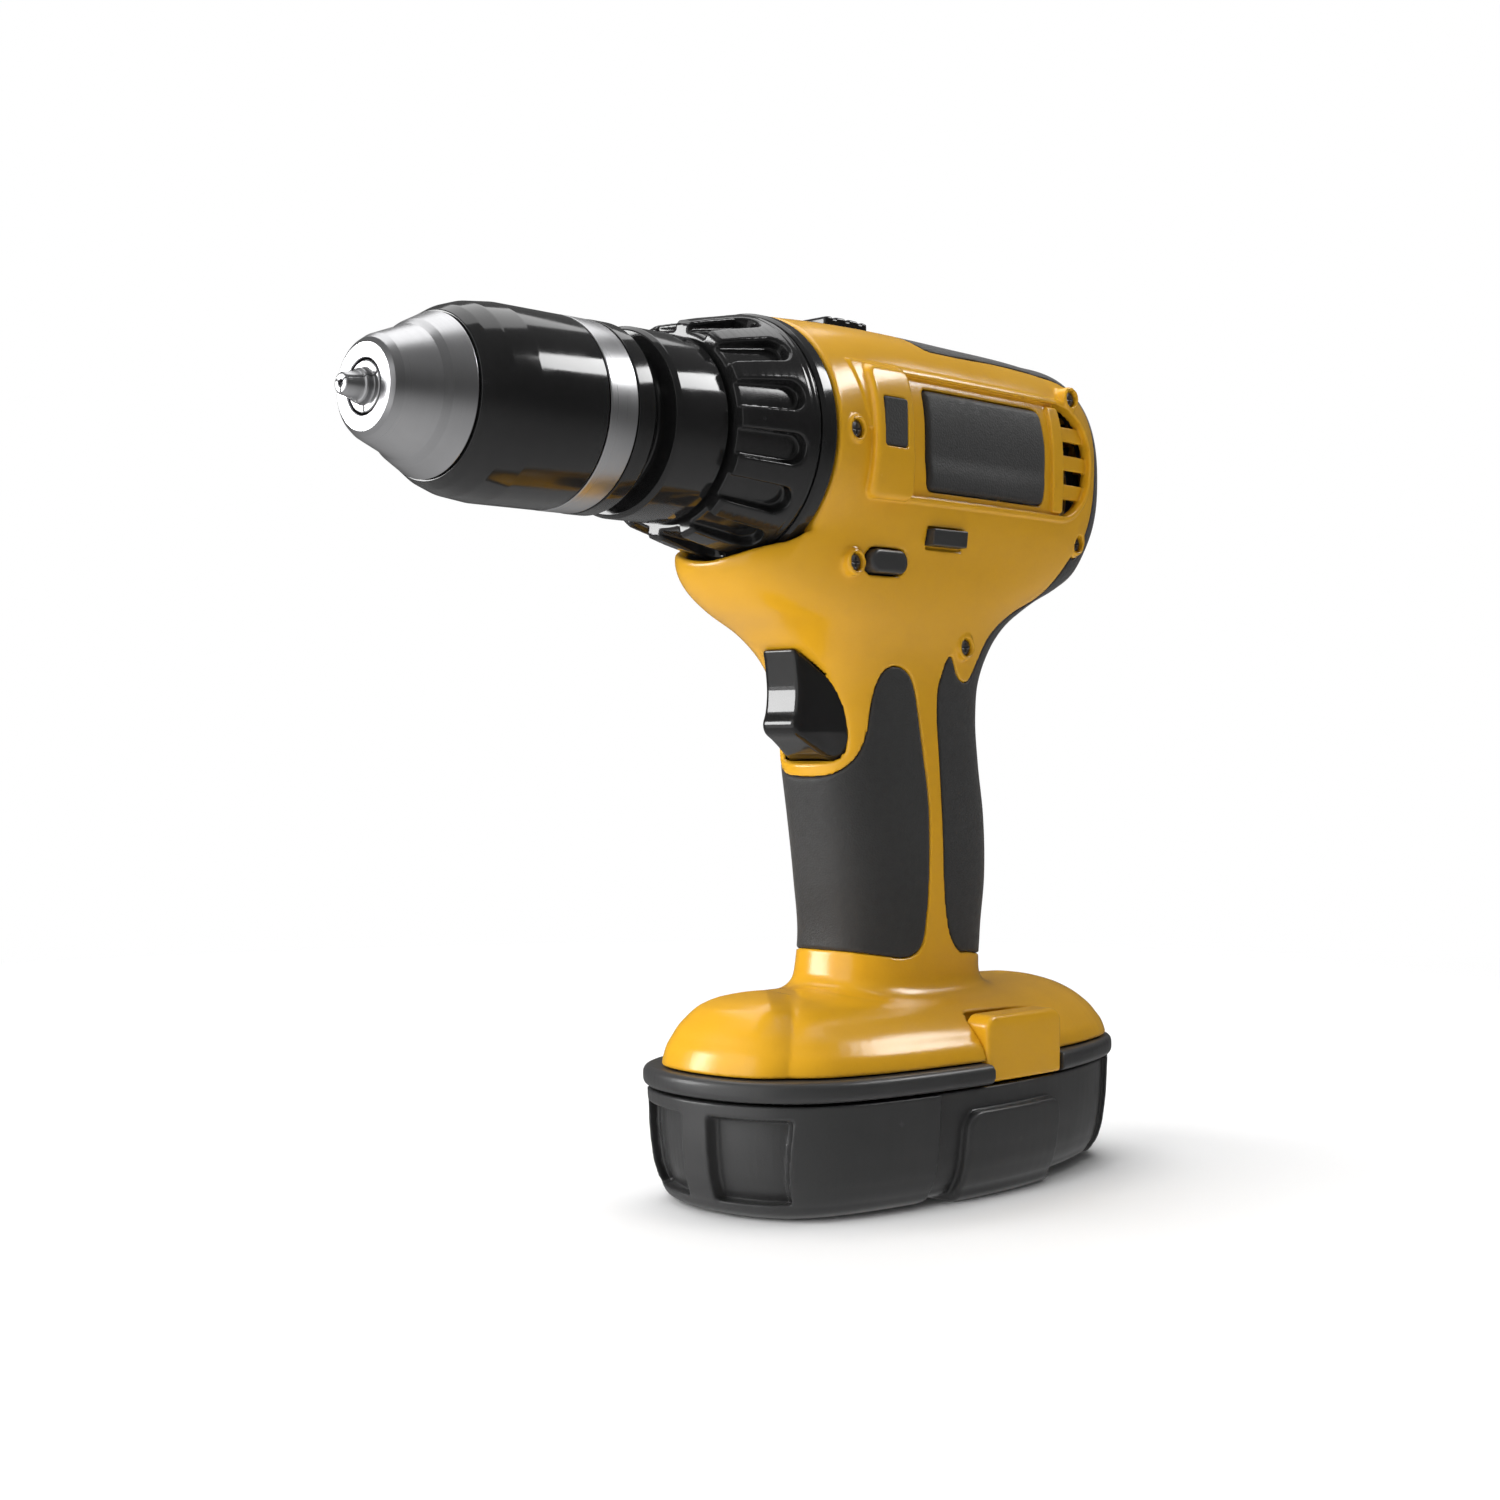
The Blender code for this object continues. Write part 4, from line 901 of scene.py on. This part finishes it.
def make_screws():
    """Cross-recess heads in their holes, with their shanks."""
    step = 0.16
    low, high = (-2.9, -3.4, -2.9), (2.9, 24.6, 2.9)
    x, y, z = axes(low, high, step)
    around = np.hypot(x, z)
    for number, (sx, depth, sz, reach) in enumerate(SCREWS, 1):
        head = meet(around - 1.98, np.abs(y - 0.7) - 1.4, 0.35)
        head = meet(head, np.hypot(around, y - 5.2) - 5.75, 0.3)
        cross = np.minimum(rectangle(x, z, -1.4, 1.4, -0.34, 0.34, 0.1),
                           rectangle(x, z, -0.34, 0.34, -1.4, 1.4, 0.1))
        head = cut(head, meet(cross + np.maximum(y + 0.5, 0) * 0.5, y - 1.2), 0.12)
        shank = meet(around - 1.2, np.abs(y - (depth - reach + 1.0) / 2) - (depth - reach - 1.0) / 2)
        screw = join(head, shank) if depth - reach > 3 else head
        points, faces, normals = skin(screw, low, step)
        show("case_screw_%d" % number, points + np.array([sx, -depth, sz]), faces, "housing", "dark_steel",
             ["housing_screw_%d" % number], normals=normals)


def make_trim():
    step = 0.25
    low, high = (-15.2, -29.4, 150.4), (0.6, -24.4, 157.2)
    x, y, z = axes(low, high, step)
    lean = [(-13.5, 155.9), (-14.0, 151.7), (-1.2, 151.7), (-0.6, 156.0)]
    lug = meet(side_outline(lean, x, z) + 0.1, np.abs(y + 26.45) - 1.75, 0.5)
    moulded("side_block", lug, low, step, "housing", "case_plastic", ["side_lug"])
    low, high = (-34.4, -30.8, 172.6), (-24.6, -26.2, 185.4)
    x, y, z = axes(low, high, step)
    inlay = meet(rectangle(x, z, *INLAY_X, *INLAY_Z, 0.8), np.abs(y + 28.6) - 1.45, 0.4)
    moulded("side_mark", inlay, low, step, "housing", "soft_rubber", ["side_inlay"])


def make_selector():
    step = 0.3
    low, high = (-35.0, -8.0, 200.8), (1.4, 8.0, 209.0)
    x, y, z = axes(low, high, step)
    plate = meet(rectangle(x, y, -33.6, 0.2, -6.9, 6.9, 1.4), np.abs(z - 203.3) - 1.7, 0.6)
    track = meet(rectangle(x, y, -29.0, -1.6, -5.7, 5.7, 1.0), 204.35 - z, 0.2)
    moulded("selector_bed", cut(plate, track, 0.3), low, step, "housing", "case_plastic", ["selector_plate"])
    height = np.abs(z - 206.25) - 1.35 + np.abs(x + 19) * 0.03
    knob = meet(rectangle(x, y, -26.5, -11.5, -5.4, 5.4, 1.0), height, 0.7)
    for place_x in (-23.6, -19.0, -14.4):
        knob = cut(knob, meet(np.abs(x - place_x) - 0.55, 206.9 - z, 0.2), 0.5)
    moulded("selector_knob", knob, low, step, "selector", "gloss_black", ["speed_selector"])


def make_latches():
    step = 0.36
    low, high = (-3.2, 27.2, 23.2), (28.2, 36.4, 41.0)
    x, y, z = axes(low, high, step)
    tab = rectangle(x, z, -2.0, 27.0, 24.2, 40.0, 3.4)
    tab = np.where(z < 32, rectangle(x, z, -2.0, 27.0, 24.2, 40.0, 0.8), tab)
    front = y - 35.4 + ((x - 12.5) / 14.5) ** 2 * 0.35 + np.maximum(z - 37, 0) ** 2 * 0.05
    tab = meet(meet(tab, front, 1.1), 28.2 - y, 0.3)
    for side, body, mirror in (("left", "latch_a", True), ("right", "latch_b", False)):
        moulded("latch_tab_" + side, tab, low, step, body, "yellow_plastic", ["latch_" + side], mirror)


# ---- battery

def battery_inset(z):
    return curve(z, (-4.6, -3.2, -2.2, 0.5, 4.5, 10.0, 23.5), (17, 10.0, 7.2, 4.6, 2.9, 1.9, 1.0))


def make_battery():
    step = 0.56
    low, high = (-68.6, -39.2, -4.2), (77.4, 39.2, 25.0)
    x, y, z = axes(low, high, step)
    plan = outline_distance(whole(BATTERY_PLAN), x[:, :, 0], y[:, :, 0])[:, :, None]
    wall = even(plan + battery_inset(z), step)
    side = np.abs(y)
    case = meet(meet(wall, -3.2 - z, 0.6), z - 23.5, 0.4)
    bent = np.where(side > 14, side + (21 - z) * 0.12, side)
    window = meet(rectangle(bent, z, *WINDOW_Y, *WINDOW_Z, 0.8), x + 45.0)
    case = cut(case, meet(window, -(wall + 2.2), 0.5), 0.6)
    ledge = rectangle(bent, z, WINDOW_Y[0], WINDOW_Y[1] - 2.2, WINDOW_Z[0], WINDOW_Z[1] - 0.6, 0.8)
    ledge = meet(ledge, x + 45.0)
    case = cut(case, meet(ledge, -(wall + 3.3), 0.4), 0.5)
    waist = meet(meet(STEP_X[0] - x, x - STEP_X[1]), 10.0 - side)
    case = cut(case, meet(waist, -(wall + 1.3), 0.3), 0.3)
    tab = meet(rectangle(x, z, *TAB_X, -14.0, TAB_Z, 4.6), wall - 1.1, 1.0)
    case = join(case, meet(meet(tab, -3.2 - z, 0.4), 12.0 - side), 0.3)
    case = cut(case, meet(meet(np.abs(x - 32.0) - 1.2, z + 1.6, 0.3), 14.0 - side), 0.3)
    hollow = meet(wall + np.where(x < -42, 6.4, 3.4), -0.6 - z, 0.5)
    case = cut(case, hollow)
    moulded("pack_case", case, low, step, "battery", "case_plastic", ["battery_case"])


def make_lid():
    """The pack's rim, with its rounded lip, and the tower that goes up the handle."""
    step = 0.5
    low, high = (-69.0, -39.6, 22.6), (77.6, 39.6, 30.2)
    x, y, z = axes(low, high, step)
    plan = outline_distance(whole(BATTERY_PLAN), x[:, :, 0], y[:, :, 0])[:, :, None]
    middle, half = (LID_Z[0] + LID_Z[1]) / 2, (LID_Z[1] - LID_Z[0]) / 2
    rim = meet(plan, np.abs(z - middle) - half, 2.0)
    groove = np.hypot(plan + 0.1, z - LID_Z[0] - 0.1) - 0.45
    rim = cut(rim, groove, 0.3)
    rim = cut(rim, meet(rectangle(x, z, -2.4, 27.4, 10, 50, 0.5), 25.6 - np.abs(y)), 0.2)
    bore = (np.abs((x - 2) / 17.5) ** 4 + np.abs(y / 8.8) ** 4) ** 0.25 - 1
    rim = cut(rim, bore * 9)
    rim = cut(rim, meet(plan + 4.0, z - LID_Z[0] - 2.6, 0.3))
    moulded("pack_rim", rim, low, step, "battery", "case_plastic", ["battery_lid"])
    step = 0.6
    low, high = (-18.8, -11.8, 26.4), (22.8, 11.8, 69.2)
    x, y, z = axes(low, high, step)
    outer = squircle(x - 2, y, 19.5, 10.8, 4.0)
    tower = meet(outer, np.abs(z - 47.85) - 20.15, 1.0)
    tower = cut(tower, meet(squircle(x - 2, y, 17.5, 8.8, 4.0), z - 66.0, 0.3))
    for rib in (-9.0, 2.0, 13.0):
        tower = cut(tower, meet(np.abs(x - rib) - 1.0, meet(outer + 0.7, 60.0 - z) * -1, 0.2), 0.3)
    moulded("pack_tower", tower, low, step, "battery", "case_plastic", None)


# ---- light

def area_light(name, direction, distance, size, power, diffuse=True, glossy=True):
    data = bpy.data.lights.new(name, "AREA")
    data.shape = "RECTANGLE"
    data.size, data.size_y = size
    data.energy = power
    light = bpy.data.objects.new(name, data)
    bpy.context.scene.collection.objects.link(light)
    aim = Vector(direction).normalized()
    light.visible_diffuse = diffuse
    light.visible_glossy = glossy
    light.location = Vector(LIGHT_TARGET) + aim * distance
    light.rotation_euler = aim.to_track_quat("Z", "Y").to_euler()


def make_world():
    world = bpy.data.worlds.new("world")
    bpy.context.scene.world = world
    world.use_nodes = True
    tree = world.node_tree
    background = tree.nodes["Background"]
    path = tree.nodes.new("ShaderNodeLightPath")
    place_node = tree.nodes.new("ShaderNodeTexCoord")
    split = tree.nodes.new("ShaderNodeSeparateXYZ")
    ramp = tree.nodes.new("ShaderNodeValToRGB")
    height = tree.nodes.new("ShaderNodeMapRange")
    height.inputs["From Min"].default_value = -1.0
    tree.links.new(place_node.outputs["Generated"], split.inputs["Vector"])
    tree.links.new(split.outputs["Z"], height.inputs["Value"])
    tree.links.new(height.outputs["Result"], ramp.inputs["Fac"])
    points = ramp.color_ramp.elements
    ends = {0.0: 0, 1.0: -1}
    points[0].position, points[1].position = 0.0, 1.0
    for position, grey in SKY:
        point = points[ends[position]] if position in ends else points.new(position)
        point.color = (grey, grey, grey, 1.0)
    blend = tree.nodes.new("ShaderNodeMix")
    blend.data_type = "RGBA"
    blend.inputs[7].default_value = (1, 1, 1, 1)
    tree.links.new(path.outputs["Is Camera Ray"], blend.inputs["Factor"])
    tree.links.new(ramp.outputs["Color"], blend.inputs[6])
    tree.links.new(blend.outputs[2], background.inputs["Color"])


def make_stage():
    mesh = bpy.data.meshes.new("floor")
    size = 6.0
    corners = [(-size, -size, 0), (size, -size, 0), (size, size, 0), (-size, size, 0)]
    mesh.from_pydata(corners, [], [(0, 1, 2, 3)])
    floor = bpy.data.objects.new("floor", mesh)
    bpy.context.scene.collection.objects.link(floor)
    n = Nodes("floor")
    n.colour(n.mix(n.remap(n.noise(4.0, 2.0), 0.3, 0.7, 0.0, 1.0), (0.93, 0.93, 0.93), (0.95, 0.95, 0.95)))
    n.set(Roughness=0.8, Specular_IOR_Level=0.1)
    fade = n.add("ShaderNodeVectorMath", operation="LENGTH")
    n.link(n.place, fade.inputs[0])
    glow = n.add("ShaderNodeEmission")
    seen = n.add("ShaderNodeLightPath").outputs["Is Camera Ray"]
    n.link(n.remap(seen, 0.0, 1.0, 0.5, 1.0), glow.inputs["Strength"])
    blend = n.add("ShaderNodeMixShader")
    n.link(n.remap(fade.outputs["Value"], 0.25, 0.7, 0.0, 1.0), blend.inputs[0])
    n.link(n.shader.outputs[0], blend.inputs[1])
    n.link(glow.outputs[0], blend.inputs[2])
    n.link(blend.outputs[0], n.tree.nodes["Material Output"].inputs["Surface"])
    mesh.materials.append(n.material)
    floor.visible_glossy = False


def make_light():
    bpy.context.scene.view_settings.view_transform = "Standard"
    make_world()
    make_stage()
    area_light("soft_left", (-0.85, 0.30, 0.28), 1.4, (1.9, 1.5), 29.0, glossy=False)
    area_light("wide_left", (-0.85, 0.25, 0.10), 1.8, (2.2, 2.0), 11.0, diffuse=False)
    area_light("box_left", (-0.715, 0.68, 0.16), 1.1, (0.26, 0.42), 4.5, diffuse=False)
    area_light("box_right", (0.60, -0.47, 0.65), 1.2, (0.60, 0.26), 6.0, diffuse=False)
    area_light("overhead", (0.05, 0.15, 1.0), 1.5, (1.6, 1.6), 29.0, glossy=False)
    area_light("wide_top", (0.2, 0.3, 1.0), 1.8, (1.6, 1.6), 14.0, diffuse=False)


# ---- carried-over CAD nodes

def dress_frame():
    slots = {part["node"]: part["material_slot"] for part in frame["record"]["subparts"]}
    for name, node in frame["nodes"].items():
        node.data.materials.clear()
        node.data.materials.append(MATERIALS[slots[name]])


MATERIALS = make_materials()
make_camera()
make_housing()
make_chuck()
make_jaws()
make_collar()
make_clutch()
make_trigger()
make_button()
make_screws()
make_trim()
make_selector()
make_latches()
make_battery()
make_lid()
make_light()
dress_frame()
